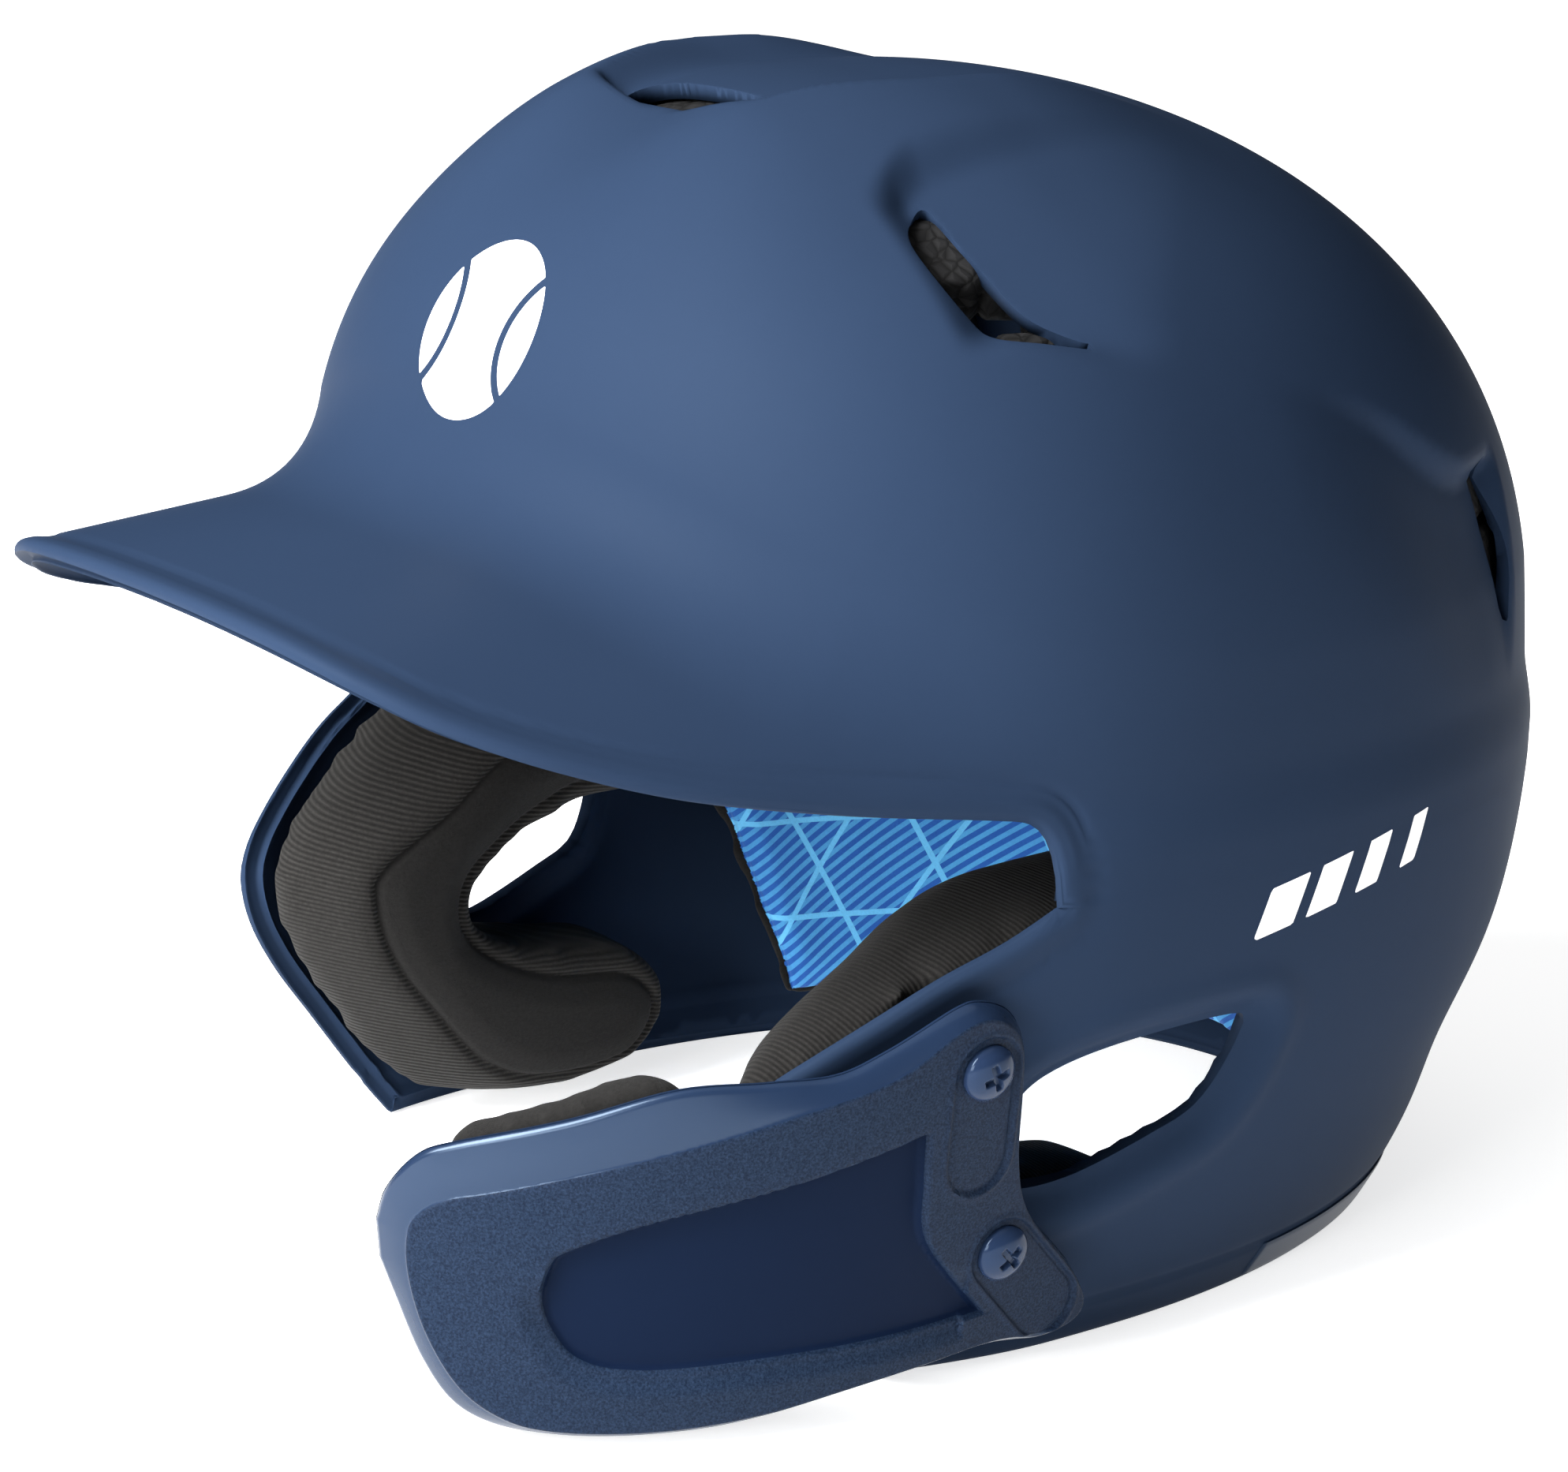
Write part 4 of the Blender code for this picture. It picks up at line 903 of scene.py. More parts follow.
def sculpt(mesh):
    """Ridges, scoops, the ledge, the rolled free edge with its groove, and the ear hole's bevel.
    The wall's thickness at each vertex goes into the layer "thickness"."""
    mesh.normal_update()
    wall = mesh.verts.layers.float.new("thickness")
    free_edge = edge_tree(boundary_points(mesh, on_rolled_edge))
    ear_edge = edge_tree(boundary_points(mesh, in_ear_area))
    moved = []
    for vertex in mesh.verts:
        point, normal = vertex.co, vertex.normal
        offset = 0.0
        thickness = SHELL_THICKNESS
        shift = Vector((0.0, 0.0, 0.0))
        if point.z > 0.165:
            shift.z += crown_rise(point.x, point.y)
            offset -= side_scoop(point.y, crown_arc(point.x, point.z))
        if 0.09 < point.z < 0.19:
            offset -= rear_scoop(point.y, point.z)
        if point.z < 0.115:
            offset += ledge_step(point)
        if point.z < 0.014:
            offset -= rim_groove(point.z)
        if point.z < 0.160 and (point.y < 0.02 or point.z < 0.012):
            gap = free_edge.find(point)[2]
            in_front = 1.0 - fade(point.y, -0.01, 0.04)
            rolled = (1.0 - fade(gap, 0.0030, 0.0056)) * in_front
            under = round_over(gap, EDGE_ROUND * (0.45 + 0.55 * in_front))
            thickness += (EDGE_THICKNESS - SHELL_THICKNESS) * rolled - 2.0 * under
            offset += 0.0005 * rolled - under
            groove = 0.0004 * math.exp(-(((gap - 0.0070) / 0.0006) ** 2))
            offset -= groove * (1.0 - fade(point.y, -0.01, 0.01))
        if point.z < 0.080 and -0.05 < point.y < 0.045:
            gap = ear_edge.find(point)[2]
            offset -= 0.0036 * (1.0 - fade(gap, 0.0, 0.0062))
            offset += 0.0007 * math.exp(-(((gap - 0.0080) / 0.0022) ** 2))
        vertex[wall] = max(thickness, 0.0004)
        moved.append((vertex, point + normal * offset + shift))
    for vertex, place in moved:
        on_seam = abs(vertex.co.x) < 1e-6
        vertex.co = place
        if on_seam:
            vertex.co.x = 0.0


def mirrored(mesh):
    """The half sheet joined to its mirror image across x = 0."""
    copies = bmesh.ops.duplicate(mesh, geom=mesh.verts[:] + mesh.edges[:] + mesh.faces[:])["geom"]
    verts = [item for item in copies if isinstance(item, bmesh.types.BMVert)]
    faces = [item for item in copies if isinstance(item, bmesh.types.BMFace)]
    bmesh.ops.scale(mesh, vec=(-1.0, 1.0, 1.0), verts=verts)
    bmesh.ops.reverse_faces(mesh, faces=faces)
    seam = [v for v in mesh.verts if abs(v.co.x) < 1e-6]
    bmesh.ops.remove_doubles(mesh, verts=seam, dist=0.00001)


def front_mark_depth(mesh):
    """How far inside the forehead's mark each vertex lies: a disc with two curved seams."""
    x, z, radius = FRONT_MARK
    depth = []
    for vertex in mesh.verts:
        point = vertex.co
        if point.y > -0.02 or point.z < 0.15:
            depth.append(-1.0)
            continue
        across, up = point.x - x, (point.z - z) / 0.93
        inside = radius - math.hypot(across, up)
        for side in (-1, 1):
            seam = abs(math.hypot(across - side * 1.45 * radius, up) - 0.95 * radius)
            inside = min(inside, seam - 0.0009)
        depth.append(inside)
    return depth


def side_mark_depth(mesh):
    """How far inside the side's mark each vertex lies: four slanted bars on the wearer's left."""
    (first_y, first_z), (last_y, last_z), height = SIDE_MARK
    pitch = (last_y - first_y) / 4
    depth = []
    for vertex in mesh.verts:
        point = vertex.co
        if point.x < 0.06 or abs(point.z - first_z) > 0.03 or abs(point.y - 0.04) > 0.04:
            depth.append(-1.0)
            continue
        along = point.y - first_y
        up = point.z - first_z - along * (last_z - first_z) / (last_y - first_y)
        slanted = along - 0.32 * up
        bar = min(max(math.floor(slanted / pitch), 0), 3)
        middle = (bar + 0.5) * pitch
        half = (0.40 - 0.07 * bar) * pitch
        depth.append(min(half - abs(slanted - middle), height / 2 - abs(up)))
    return depth


def shell_sheet():
    """The shell's outer sheet: cut, sculpted, mirrored and painted."""
    mesh = base_half()
    for outline, kind in ((EAR_HOLE, "side"), (TOP_VENT, "top"), (SIDE_VENT, "crown"), (REAR_VENT, "side")):
        cut_out(mesh, outline_depth(places(mesh, kind), closed_curve(outline)))
    sculpt(mesh)
    mirrored(mesh)
    paint_mark(mesh, front_mark_depth, 1)
    paint_mark(mesh, side_mark_depth, 1)
    mesh.normal_update()
    return mesh


def finished_object(name, mesh, *finishes):
    """An object from a bmesh in the shell's frame, smooth shaded, with its materials."""
    data = bpy.data.meshes.new(name)
    mesh.to_mesh(data)
    mesh.free()
    data.transform(Matrix.Translation((0.0, -MIDDLE_Y, 0.0)))
    made = bpy.data.objects.new(name, data)
    bpy.context.scene.collection.objects.link(made)
    for finish in finishes:
        data.materials.append(finish)
    data.shade_smooth()
    return made


def declare(made, body, node):
    """Says which body the piece rides on, and the CAD node it replaces."""
    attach(made, body)
    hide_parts(node)


def apply_modifiers(made):
    """Writes the result of an object's modifiers into its mesh."""
    bpy.context.view_layer.update()
    evaluated = made.evaluated_get(bpy.context.evaluated_depsgraph_get())
    mesh = bpy.data.meshes.new_from_object(evaluated)
    made.modifiers.clear()
    made.data = mesh


def build_shell():
    shell = finished_object("helmet_shell", shell_sheet(), SHELL_NAVY, MARK_WHITE)
    inner = shell.vertex_groups.new(name="inner")
    wall = shell.vertex_groups.new(name="wall")
    for i, item in enumerate(shell.data.attributes["thickness"].data):
        wall.add([i], item.value / EDGE_THICKNESS, "REPLACE")
    solid = shell.modifiers.new("thickness", "SOLIDIFY")
    solid.thickness = EDGE_THICKNESS
    solid.vertex_group = wall.name
    solid.offset = -1.0
    solid.use_even_offset = False
    solid.shell_vertex_group = inner.name
    round_off = shell.modifiers.new("edges", "BEVEL")
    round_off.width = 0.0009
    round_off.segments = 3
    round_off.limit_method = "ANGLE"
    round_off.angle_limit = math.radians(55)
    thin = shell.modifiers.new("thin_inside", "DECIMATE")
    thin.ratio = 0.62
    thin.vertex_group = inner.name
    apply_modifiers(shell)
    shell.data.shade_smooth()
    declare(shell, "helmet", "shell")


# ---- Jaw guard ----
GUARD_NORMAL = Vector((math.cos(GUARD_LEAN), 0.0, -math.sin(GUARD_LEAN)))
GUARD_UP = Vector((math.sin(GUARD_LEAN), 0.0, math.cos(GUARD_LEAN)))
GUARD_AHEAD = Vector((0.0, -1.0, 0.0))


def guard_point(ahead, up, depth=0.0):
    """A place on the guard: distance ahead of and above the upper screw along the plate,
    and depth under its outer face."""
    if ahead < GUARD_FLAT:
        flat, inwards = ahead, 0.0
        facing = GUARD_NORMAL
    else:
        angle = (ahead - GUARD_FLAT) / GUARD_BEND_RADIUS
        flat = GUARD_FLAT + GUARD_BEND_RADIUS * math.sin(angle)
        inwards = GUARD_BEND_RADIUS * (1.0 - math.cos(angle))
        facing = GUARD_NORMAL * math.cos(angle) + GUARD_AHEAD * math.sin(angle)
    place = Vector(GUARD_SCREW) + GUARD_AHEAD * flat - GUARD_NORMAL * inwards + GUARD_UP * up
    return place - facing * depth


def smooth_steps(value, low, high):
    """fade() for arrays."""
    t = np.clip((value - low) / (high - low), 0.0, 1.0)
    return t * t * (3.0 - 2.0 * t)


def rounded_edges(gaps, radius):
    """round_over() for arrays."""
    return radius - np.sqrt(radius**2 - (radius - np.minimum(gaps, radius)) ** 2)


def capsule_depth(points, ends, radius):
    """How far inside a round-ended slot's outline each point lies."""
    first, last = (np.array(end) for end in ends)
    run = last - first
    share = np.clip(((points - first) @ run) / (run @ run), 0.0, 1.0)
    return radius - np.linalg.norm(points - first - share[:, None] * run, axis=1)


def guard_relief(points, outline):
    """Height of the guard's outer face over the plain plate: the chamfered gloss border,
    the raised face, the sunk panel with its lower lip, and the two round-ended recesses."""
    from_edge = np.maximum(outline_depth(points, outline), 0.0)
    in_face = outline_depth(points, closed_curve(GUARD_FACE))
    off_face = np.maximum(-in_face, 0.0)
    chamfer = off_face / np.maximum(off_face + from_edge, 1e-6)
    height = -0.0022 * chamfer**1.25 + 0.0003 * smooth_steps(in_face, -0.0002, 0.0003)
    height -= rounded_edges(from_edge, 0.0011)
    in_panel = outline_depth(points, closed_curve(GUARD_PANEL))
    sunk = smooth_steps(in_panel, -0.0002, 0.0009)
    low = smooth_steps(-points[:, 1], 0.036, 0.046) * (points[:, 0] > -0.002)
    dish = 0.0012 * low * smooth_steps(in_panel, -0.0046, 0.0)
    height -= 0.0024 * sunk + dish * (1.0 - sunk)
    for ends in GUARD_RECESSES:
        inside = capsule_depth(points, ends, RECESS_RADIUS)
        height -= 0.0003 * smooth_steps(inside, 0.0, 0.0004)
        height -= 0.0005 * np.exp(-((inside / 0.00035) ** 2))
        height += 0.0003 * np.exp(-(((inside + 0.0008) / 0.0005) ** 2))
    return height


def guard_grid():
    """Places over the guard from its lower to its upper outline, closer near the edges."""
    top = smooth_path(GUARD_TOP, GUARD_COLUMNS)
    bottom = smooth_path(GUARD_BOTTOM, GUARD_COLUMNS)
    steps = np.linspace(0.0, 1.0, GUARD_ROWS + 1)
    shares = 0.45 * steps + 0.55 * (0.5 - 0.5 * np.cos(np.pi * steps))
    return top, bottom, np.array([bottom + (top - bottom) * share for share in shares])


def build_guard():
    top, bottom, grid = guard_grid()
    outline = np.vstack([bottom, top[::-1]])
    flat = grid.reshape(-1, 2)
    relief = guard_relief(flat, outline)
    from_edge = np.maximum(outline_depth(flat, outline), 0.0)
    rolled = rounded_edges(from_edge, 0.0008)
    mesh = bmesh.new()
    sheets = []
    for depths in (-relief, GUARD_THICKNESS - rolled):
        verts = [mesh.verts.new(guard_point(*place, depth)) for place, depth in zip(flat, depths)]
        sheets.append([verts[k : k + GUARD_COLUMNS + 1] for k in range(0, len(verts), GUARD_COLUMNS + 1)])
    outer, inner = sheets
    for low, high in zip(outer, outer[1:]):
        bridge(mesh, low, high)
    for low, high in zip(inner, inner[1:]):
        bridge(mesh, high, low)
    for row in (0, GUARD_ROWS):
        bridge(mesh, outer[row], inner[row])
    bmesh.ops.remove_doubles(mesh, verts=mesh.verts, dist=0.00002)
    bmesh.ops.recalc_face_normals(mesh, faces=mesh.faces)
    mesh.verts.ensure_lookup_table()

    def lay(vertex):
        """The vertex's place on the guard, and whether it is on the outer side."""
        from_screw = vertex.co - Vector(GUARD_SCREW)
        up = from_screw.dot(GUARD_UP)
        forward = from_screw.dot(GUARD_AHEAD) - GUARD_FLAT
        inwards = -from_screw.dot(GUARD_NORMAL)
        if forward <= 0:
            return (forward + GUARD_FLAT, up), inwards < 0.6 * GUARD_THICKNESS
        angle = math.atan2(forward, GUARD_BEND_RADIUS - inwards)
        reach = math.hypot(forward, GUARD_BEND_RADIUS - inwards)
        outside = reach > GUARD_BEND_RADIUS - 0.6 * GUARD_THICKNESS
        return (GUARD_FLAT + angle * GUARD_BEND_RADIUS, up), outside

    # Finish 2, the sunk panel, carries painted shade of its recess.
    for shape, finish in ((GUARD_FACE, 1), (GUARD_PANEL, 2)):
        laid = [lay(vertex) for vertex in mesh.verts]
        depth = outline_depth([place for place, _ in laid], closed_curve(shape))
        inset = 0.0003 if finish == 2 else 0.0
        paint(mesh, [d - inset if outer else -1.0 for d, (_, outer) in zip(depth, laid)], finish)
    guard = finished_object("jaw_guard_plate", mesh, GUARD_GLOSS, GUARD_SPECKLE, GUARD_PANEL_SHADE)
    guard.data.set_sharp_from_angle(angle=math.radians(50))
    declare(guard, "guard", "jaw_guard")


# ---- Guard hardware and rear trim ----
def lathe(name, profile, seat, finish, steps=72, relief=None):
    """A profile of (radius, height) from top to bottom, turned about the seat's Z."""
    mesh = bmesh.new()
    rings = []
    for radius, height in profile:
        ring = []
        for k in range(steps):
            angle = 2 * math.pi * k / steps
            place = Vector((radius * math.cos(angle), radius * math.sin(angle), height))
            if relief is not None:
                place.z -= relief(place)
            ring.append(mesh.verts.new(seat @ place))
        rings.append(ring)
    for upper, lower in zip(rings, rings[1:]):
        for k in range(steps):
            mesh.faces.new((upper[k], lower[k], lower[(k + 1) % steps], upper[(k + 1) % steps]))
    bmesh.ops.remove_doubles(mesh, verts=mesh.verts, dist=0.00001)
    bmesh.ops.recalc_face_normals(mesh, faces=mesh.faces)
    made = finished_object(name, mesh, finish)
    made.data.set_sharp_from_angle(angle=math.radians(45))
    return made


def frame_matrix(origin, x_axis, z_axis):
    """A frame with local X and Z near the given directions."""
    z = Vector(z_axis).normalized()
    x = Vector(x_axis)
    x = (x - z * x.dot(z)).normalized()
    y = z.cross(x)
    rotation = Matrix((x, y, z)).transposed().to_4x4()
    return Matrix.Translation(origin) @ rotation


def flap_depth(place):
    """How far along the guard's normal the flap's outer face lies under this place."""
    depth = 0.0
    for _ in range(40):
        point = place - GUARD_NORMAL * depth
        depth += point.x - wall_x(point.y, point.z)
    return depth


def cross_recess(turn):
    """How deep the driver's cross, turned by this angle, is cut at a place on the head."""

    def depth(place):
        if place.z < 0.0012:
            return 0.0
        first = abs(place.x * math.cos(turn) + place.y * math.sin(turn))
        second = abs(-place.x * math.sin(turn) + place.y * math.cos(turn))
        arm = max(
            (1 - fade(first, 0.00045, 0.00080)) * (1 - fade(second, 0.0016, 0.0028)),
            (1 - fade(second, 0.00045, 0.00080)) * (1 - fade(first, 0.0016, 0.0028)),
        )
        return 0.0011 * arm

    return depth


def rounded_collar(inner, outer, top, bottom, radius):
    """The profile of a ring with rounded outer edges."""
    turns = [0.5 * math.pi * k / 4 for k in range(5)]
    side = outer - radius
    upper = [(side + radius * math.sin(a), top - radius + radius * math.cos(a)) for a in turns]
    lower = [(side + radius * math.cos(a), bottom + radius - radius * math.sin(a)) for a in turns]
    return [(inner, top), *upper, *lower, (inner, bottom), (inner, top)]


def build_hardware():
    for name, screw_place, turn in (("upper", (0.0, 0.0), 0.35), ("lower", LOWER_SCREW, 0.75)):
        place = guard_point(*screw_place)
        seat = frame_matrix(place, GUARD_AHEAD, GUARD_NORMAL)
        flap = flap_depth(place)
        inner = flap + SHELL_THICKNESS / math.cos(math.radians(12))
        flange = -(inner + FLANGE_DROP)
        tip = flange - NUT_FLANGE_THICKNESS - 0.001
        dome = []
        for k in range(41):
            out = math.sin(0.5 * math.pi * k / 40)
            rise = math.sqrt(max(1.0 - out**2, 0.0))
            dome.append((SCREW_HEAD_RADIUS * out, 0.0003 + SCREW_HEAD_HEIGHT * rise))
        shank = [(SCREW_HEAD_RADIUS, -0.0001), (SCREW_RADIUS, -0.0001)]
        threads = 14
        for k in range(threads * 4 + 1):
            depth = 0.0002 * (0.5 - 0.5 * math.cos(math.pi * k / 2))
            shank.append((SCREW_RADIUS - depth, flange + (tip + 0.0003 - flange) * k / (threads * 4)))
        shank += [(SCREW_RADIUS - 0.0004, tip), (0.00001, tip)]
        screw = lathe(name + "_screw_head", dome + shank, seat, SCREW_STEEL, 96, cross_recess(turn))
        declare(screw, "screw_" + name, name + "_screw")
        back = -(GUARD_THICKNESS + 0.0003)
        profile = rounded_collar(BORE_RADIUS, SPACER_RADIUS, back, -(flap - SPACER_LIFT), 0.0004)
        spacer = lathe(name + "_spacer_ring", profile, seat, SPACER_RUBBER)
        declare(spacer, "helmet", name + "_spacer")
        barrel_top = -(flap + 0.0004)
        flange_back = flange - NUT_FLANGE_THICKNESS
        barrel = [(BORE_RADIUS, barrel_top), (NUT_BARREL_RADIUS, barrel_top), (NUT_BARREL_RADIUS, flange)]
        collar = rounded_collar(BORE_RADIUS, NUT_FLANGE_RADIUS, flange, flange_back, 0.0003)
        profile = barrel + collar[1:-1] + [barrel[0]]
        nut = lathe(name + "_t_nut_flange", profile, seat, NUT_STEEL)
        declare(nut, "helmet", name + "_t_nut")


def build_trim():
    """The edge band round the nape, rounded over at its top and ends."""
    start = wall_angle(TRIM_START_Y, 0.0)
    mesh = bmesh.new()
    outer, inner = [], []
    for k in range(TRIM_ROWS + 1):
        z = TRIM_HEIGHT * k / TRIM_ROWS
        outer.append([])
        inner.append([])
        for j in range(TRIM_COLUMNS + 1):
            share = j / TRIM_COLUMNS
            phi = start + (2 * math.pi - 2 * start) * share
            end = 0.30 * min(share, 1.0 - share)
            off = round_over(min(TRIM_HEIGHT - z, end), 0.0012) + round_over(z, 0.0008)
            proud = TRIM_THICKNESS - min(off, 0.9 * TRIM_THICKNESS)
            outer[-1].append(mesh.verts.new(wall_point(phi, z, -TRIM_GAP - proud)))
            inner[-1].append(mesh.verts.new(wall_point(phi, z, -TRIM_GAP)))
    for sheet in (outer, inner):
        for low, high in zip(sheet, sheet[1:]):
            bridge(mesh, low, high)
    for k in (0, TRIM_ROWS):
        bridge(mesh, outer[k], inner[k])
    for j in (0, TRIM_COLUMNS):
        bridge(mesh, [row[j] for row in outer], [row[j] for row in inner])
    bmesh.ops.recalc_face_normals(mesh, faces=mesh.faces)
    trim = finished_object("nape_trim", mesh, TRIM_NAVY)
    trim.data.set_sharp_from_angle(angle=math.radians(50))
    declare(trim, "helmet", "rear_trim")


# ---- Soft pieces ----
FILL_FRAMES = 20
FOAM_VOXELS = {
    "front_foam": 0.0036,
    "rear_foam": 0.0040,
    "nape_foam": 0.0040,
    "left_foam": 0.0045,
    "right_foam": 0.0045,
    "crown_foam": 0.0042,
}


def vectors(items, kind):
    """A list of vectors that Blender holds, as an array."""
    found = np.zeros(len(items) * 3)
    items.foreach_get(kind, found)
    return found.reshape(-1, 3)


def positions(made):
    return vectors(made.data.vertices, "co")


def put_positions(made, places):
    made.data.vertices.foreach_set("co", np.asarray(places, float).ravel())
    made.data.update()


def normals_of(made):
    return vectors(made.data.vertex_normals, "vector")


def blank(node, name, voxel, inset, passes=2):
    """An even-faced copy of a CAD node, a little smaller than it, in the shell's frame."""
    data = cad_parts[node].data.copy()
    data.materials.clear()
    data.transform(Matrix.Translation((0.0, MIDDLE_Y, 0.0)))
    made = bpy.data.objects.new(name, data)
    bpy.context.scene.collection.objects.link(made)
    remesh = made.modifiers.new("even", "REMESH")
    remesh.mode = "VOXEL"
    remesh.voxel_size = voxel
    soften = made.modifiers.new("soften", "SMOOTH")
    soften.factor = 0.5
    soften.iterations = passes
    apply_modifiers(made)
    put_positions(made, positions(made) - normals_of(made) * inset)
    return made


def fill_out(pads, limit):
    """Blows the sewn shells up from inside, all together, and keeps each place within the limit."""
    before = [positions(made) for made in pads]
    for made in pads:
        cloth = made.modifiers.new("fill", "CLOTH")
        cloth.settings.quality = 5
        cloth.settings.mass = 0.2
        cloth.settings.tension_stiffness = 12
        cloth.settings.compression_stiffness = 12
        cloth.settings.bending_stiffness = 0.6
        cloth.settings.use_pressure = True
        cloth.settings.uniform_pressure_force = 4.0
        cloth.settings.effector_weights.gravity = 0.0
        cloth.point_cache.frame_start = 1
        cloth.point_cache.frame_end = FILL_FRAMES
    for number in range(1, FILL_FRAMES + 1):
        bpy.context.scene.frame_set(number)
        bpy.context.view_layer.update()
    graph = bpy.context.evaluated_depsgraph_get()
    after = [vectors(made.evaluated_get(graph).to_mesh().vertices, "co") for made in pads]
    for made, old, new in zip(pads, before, after):
        made.modifiers.clear()
        moved = new - old
        length = np.linalg.norm(moved, axis=1, keepdims=True)
        put_positions(made, old + moved * np.minimum(1.0, limit / np.maximum(length, 1e-9)))
    bpy.context.scene.frame_set(1)


def refine(made, levels):
    even = made.modifiers.new("refine", "SUBSURF")
    even.levels = levels
    even.render_levels = levels
    apply_modifiers(made)
    made.data.shade_smooth()


def finish_pad(made, node, finishes, chosen=None):
    for finish in finishes:
        made.data.materials.append(finish)
    if chosen is not None:
        numbers = chosen.astype(int)
        first = np.zeros(len(made.data.polygons), int)
        made.data.polygons.foreach_get("loop_start", first)
        corners = np.zeros(len(made.data.loops), int)
        made.data.loops.foreach_get("vertex_index", corners)
        made.data.polygons.foreach_set("material_index", numbers[corners[first]])
    made.data.shade_smooth()
    made.data.transform(Matrix.Translation((0.0, -MIDDLE_Y, 0.0)))
    declare(made, "guard" if node == "jaw_guard_pad" else "helmet", node)


def shape_ear_pad(made, side):
    """The seam round the inner face, the face's own cushion, and a line of stitches."""
    refine(made, 3)
    places, normals = positions(made), normals_of(made)
    inner_x = LEFT_PAD_INNER_X if side > 0 else RIGHT_PAD_INNER_X
    from_outline = outline_depth(places[:, 1:], closed_curve(EAR_PAD_OUTLINE))
    from_face = np.abs(places[:, 0]) - inner_x
    on_face = 1.0 - smooth_steps(from_face, 0.004, 0.009)
    seam = np.exp(-(((from_outline - PAD_SEAM_INSET) / 0.0009) ** 2)) * on_face
    swell = 0.0012 * smooth_steps(from_outline, PAD_SEAM_INSET, 0.0100) * on_face
    stitch = np.sin((places[:, 1] + places[:, 2]) * 2 * np.pi / 0.0036)
    lift = swell - (0.0011 + 0.00005 * stitch) * seam
    shaped = places + normals * lift[:, None]
    shaped[:, 2] = np.maximum(shaped[:, 2], PAD_FOOT_Z)
    put_positions(made, shaped)
    inside = (from_outline > PAD_SEAM_INSET) & (from_face < 0.010)
    ribbed = KNIT_RIBBED_NEAR if side > 0 else KNIT_RIBBED_FAR
    name = "left_ear_pad" if side > 0 else "right_ear_pad"
    finish_pad(made, name, (ribbed, KNIT_BRUSHED), inside)


def round_angle(place):
    """The plan angle of a place inside the shell, and how far out it lies, 1 on the wall."""
    width, centre, length, power = section_at(place[1], place[2])
    side, ahead = abs(place[0]) / width, abs(place[1] - centre) / length
    reach = (side**power + ahead**power) ** (1.0 / power)
    angle = math.acos(min(ahead / reach, 1.0) ** (power / 2.0))
    return (angle if place[1] < centre else math.pi - angle), reach


def slant_ends(made):
    """Moves the rear pad's ends back, more so lower down, along the shell's wall."""
    places = positions(made)
    for i, place in enumerate(places):
        angle, reach = round_angle(place)
        share = min(max((math.pi - angle) / (math.pi - REAR_PAD_FIRST), 0.0), 1.0)
        angle += REAR_PAD_SLANT * max(REAR_PAD_BEND_Z - place[2], 0.0) * share**2
        wall = wall_point(min(angle, math.pi), place[2])
        centre = section(place[2])[3]
        places[i] = (
            math.copysign(wall.x * reach, place[0]),
            centre + (wall.y - centre) * reach,
            place[2],
        )
    put_positions(made, places)


def shape_rear_pad(made):
    """The bound edge, a line of piping and the cloth on the side that faces the head."""
    refine(made, 3)
    places, normals = positions(made), normals_of(made)
    low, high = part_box("rear_pad")
    past_end = np.zeros(len(places))
    for i, place in enumerate(places):
        end = REAR_PAD_FIRST + REAR_PAD_SLANT * max(REAR_PAD_BEND_Z - place[2], 0.0)
        past_end[i] = REAR_PAD_RADIUS * (round_angle(place)[0] - end)
    from_edge = np.minimum(np.minimum(places[:, 2] - low.z, high.z - places[:, 2]), past_end)
    seam = np.exp(-(((from_edge - PAD_SEAM_INSET) / 0.0006) ** 2))
    piping = np.exp(-(((from_edge - 0.0018) / 0.0010) ** 2))
    inwards = -(normals[:, 0] * places[:, 0] + normals[:, 1] * (places[:, 1] - CENTRE_Y)) > 0
    lift = (0.0004 * piping - 0.0008 * seam) * inwards
    put_positions(made, places + normals * lift[:, None])
    bound = (from_edge < 0.0032) | ~inwards
    finish_pad(made, "rear_pad", (LINER_BLUE, KNIT_BRUSHED), bound)


def round_jaw_end(made):
    """Lowers the jaw pad's top towards its rear end, in a quarter round."""
    places = positions(made)
    reach = 0.012
    share = np.clip((places[:, 1] - places[:, 1].max() + reach) / reach, 0.0, 1.0)
    foot = places[:, 2].min()
    places[:, 2] = foot + (places[:, 2] - foot) * (0.55 + 0.45 * np.sqrt(1.0 - share**2))
    put_positions(made, places)


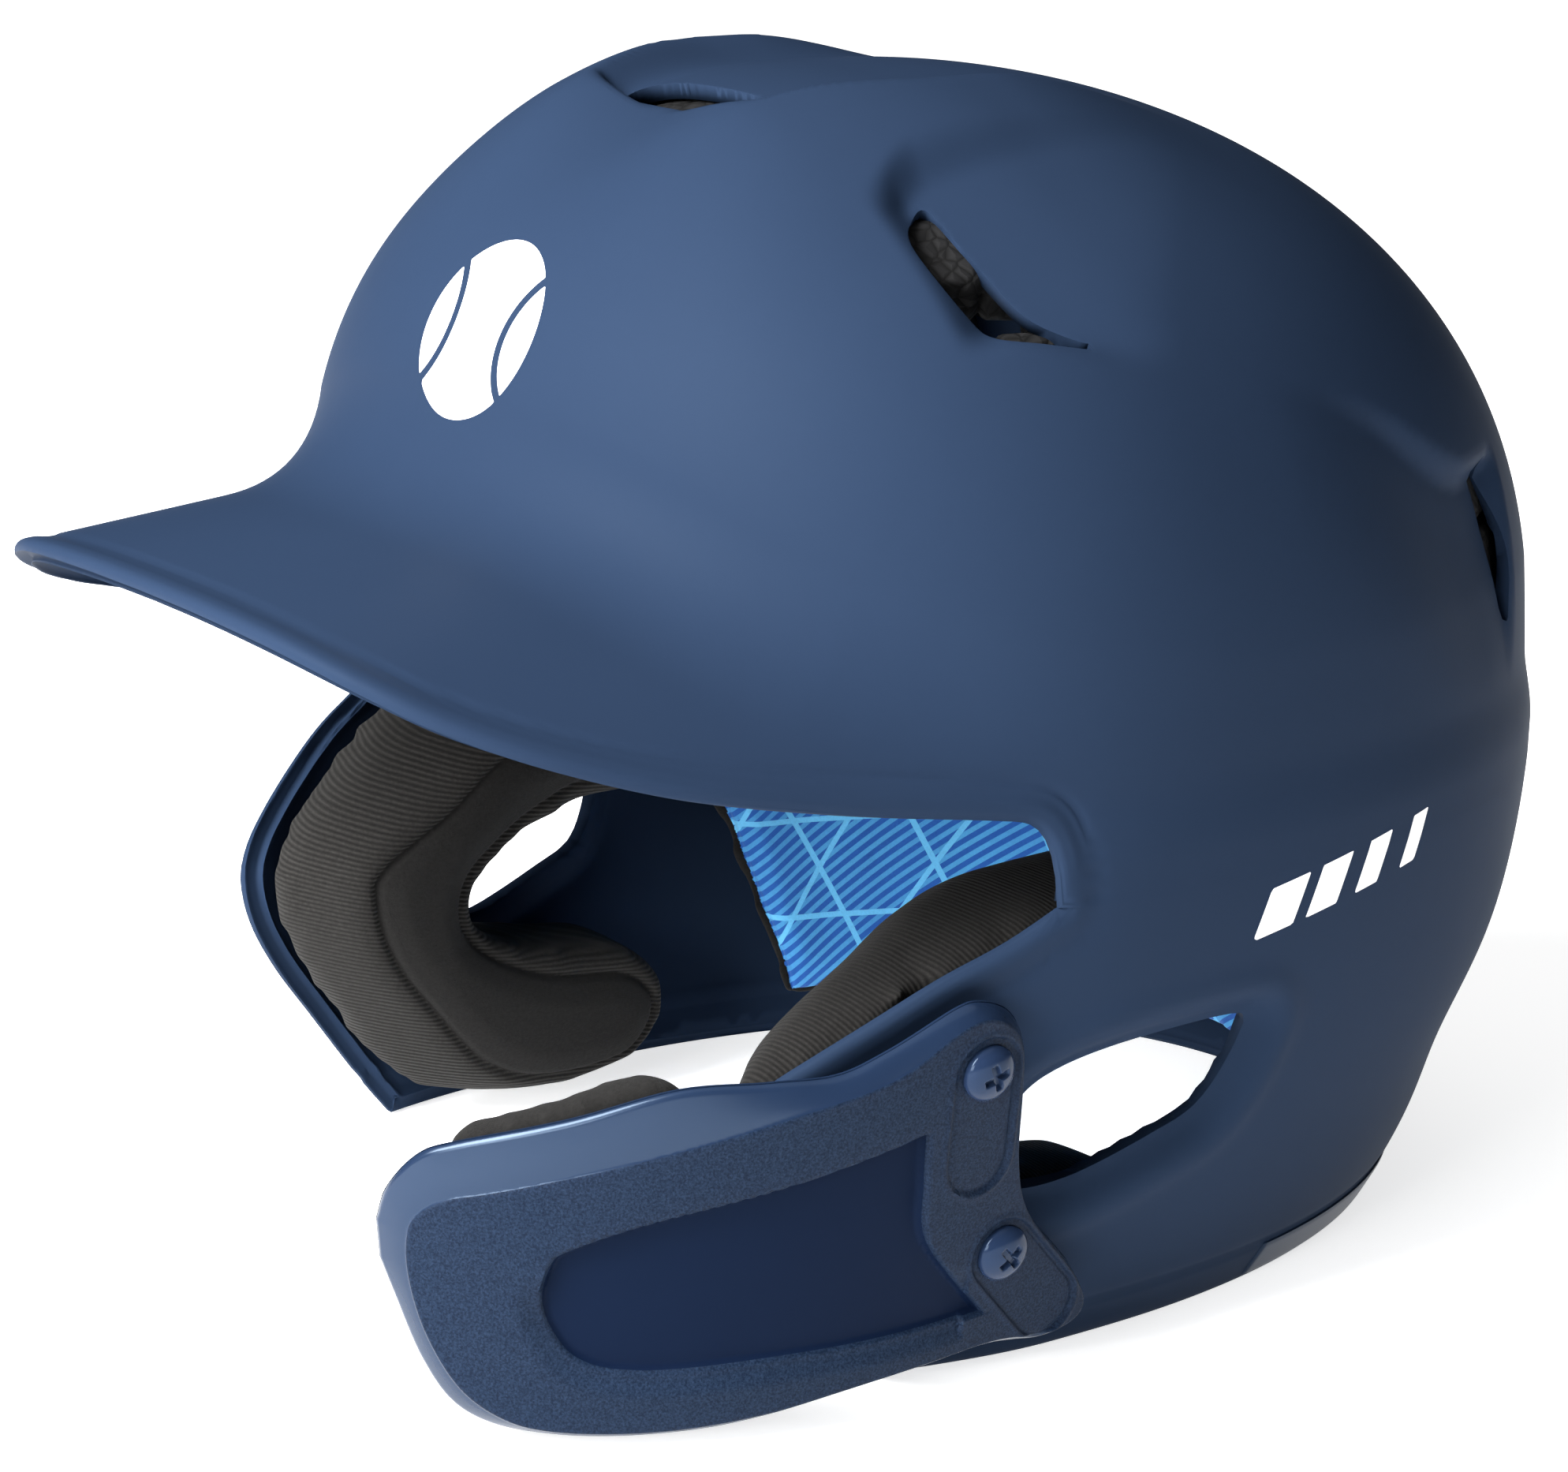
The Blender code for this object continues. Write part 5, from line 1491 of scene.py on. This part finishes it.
def shape_block(made, node, pitch, depth, finish):
    """Shallow channels across a block, every pitch of its height and its way round."""
    refine(made, 2)
    places, normals = positions(made), normals_of(made)
    around = np.arctan2(places[:, 0], places[:, 1] - CENTRE_Y) * 0.1
    groove = np.zeros(len(places))
    for along in (around, places[:, 2] - 0.004):
        share = np.abs(along / pitch - np.floor(along / pitch) - 0.5) * pitch
        groove = np.maximum(groove, np.exp(-((share / 0.0011) ** 2)))
    put_positions(made, places - normals * (depth * groove)[:, None])
    finish_pad(made, node, (finish,))


def build_soft_pieces():
    cushions = {
        "left_ear_pad": blank("left_ear_pad", "ear_cushion_left", 0.0036, -0.0006, 4),
        "right_ear_pad": blank("right_ear_pad", "ear_cushion_right", 0.0036, -0.0006, 4),
        "rear_pad": blank("rear_pad", "nape_cushion_blue", 0.0035, 0.0005),
        "forehead_pad": blank("forehead_pad", "forehead_cushion", 0.0025, 0.0004),
        "left_side_pad": blank("left_side_pad", "side_cushion_left", 0.0030, 0.0004),
        "right_side_pad": blank("right_side_pad", "side_cushion_right", 0.0030, 0.0004),
        "crown_pad": blank("crown_pad", "crown_cushion", 0.0030, 0.0004),
        "jaw_guard_pad": blank("jaw_guard_pad", "jaw_cushion", 0.0022, 0.0, 14),
    }
    slant_ends(cushions["rear_pad"])
    fill_out(list(cushions.values()), 0.0014)
    shape_ear_pad(cushions["left_ear_pad"], 1)
    shape_ear_pad(cushions["right_ear_pad"], -1)
    shape_rear_pad(cushions["rear_pad"])
    for node in ("forehead_pad", "left_side_pad", "right_side_pad", "crown_pad"):
        shape_block(cushions[node], node, 0.016, 0.0009, KNIT_BRUSHED)
    round_jaw_end(cushions["jaw_guard_pad"])
    shape_block(cushions["jaw_guard_pad"], "jaw_guard_pad", 0.2, 0.0, KNIT_BRUSHED)
    for node, voxel in FOAM_VOXELS.items():
        block = blank(node, node + "_block", voxel, 0.0002)
        if node == "nape_foam":
            slant_ends(block)
        shape_block(block, node, 0.021, 0.0016, FOAM_BLACK)


build_camera()
build_stage()
build_shell()
build_guard()
build_hardware()
build_trim()
build_soft_pieces()
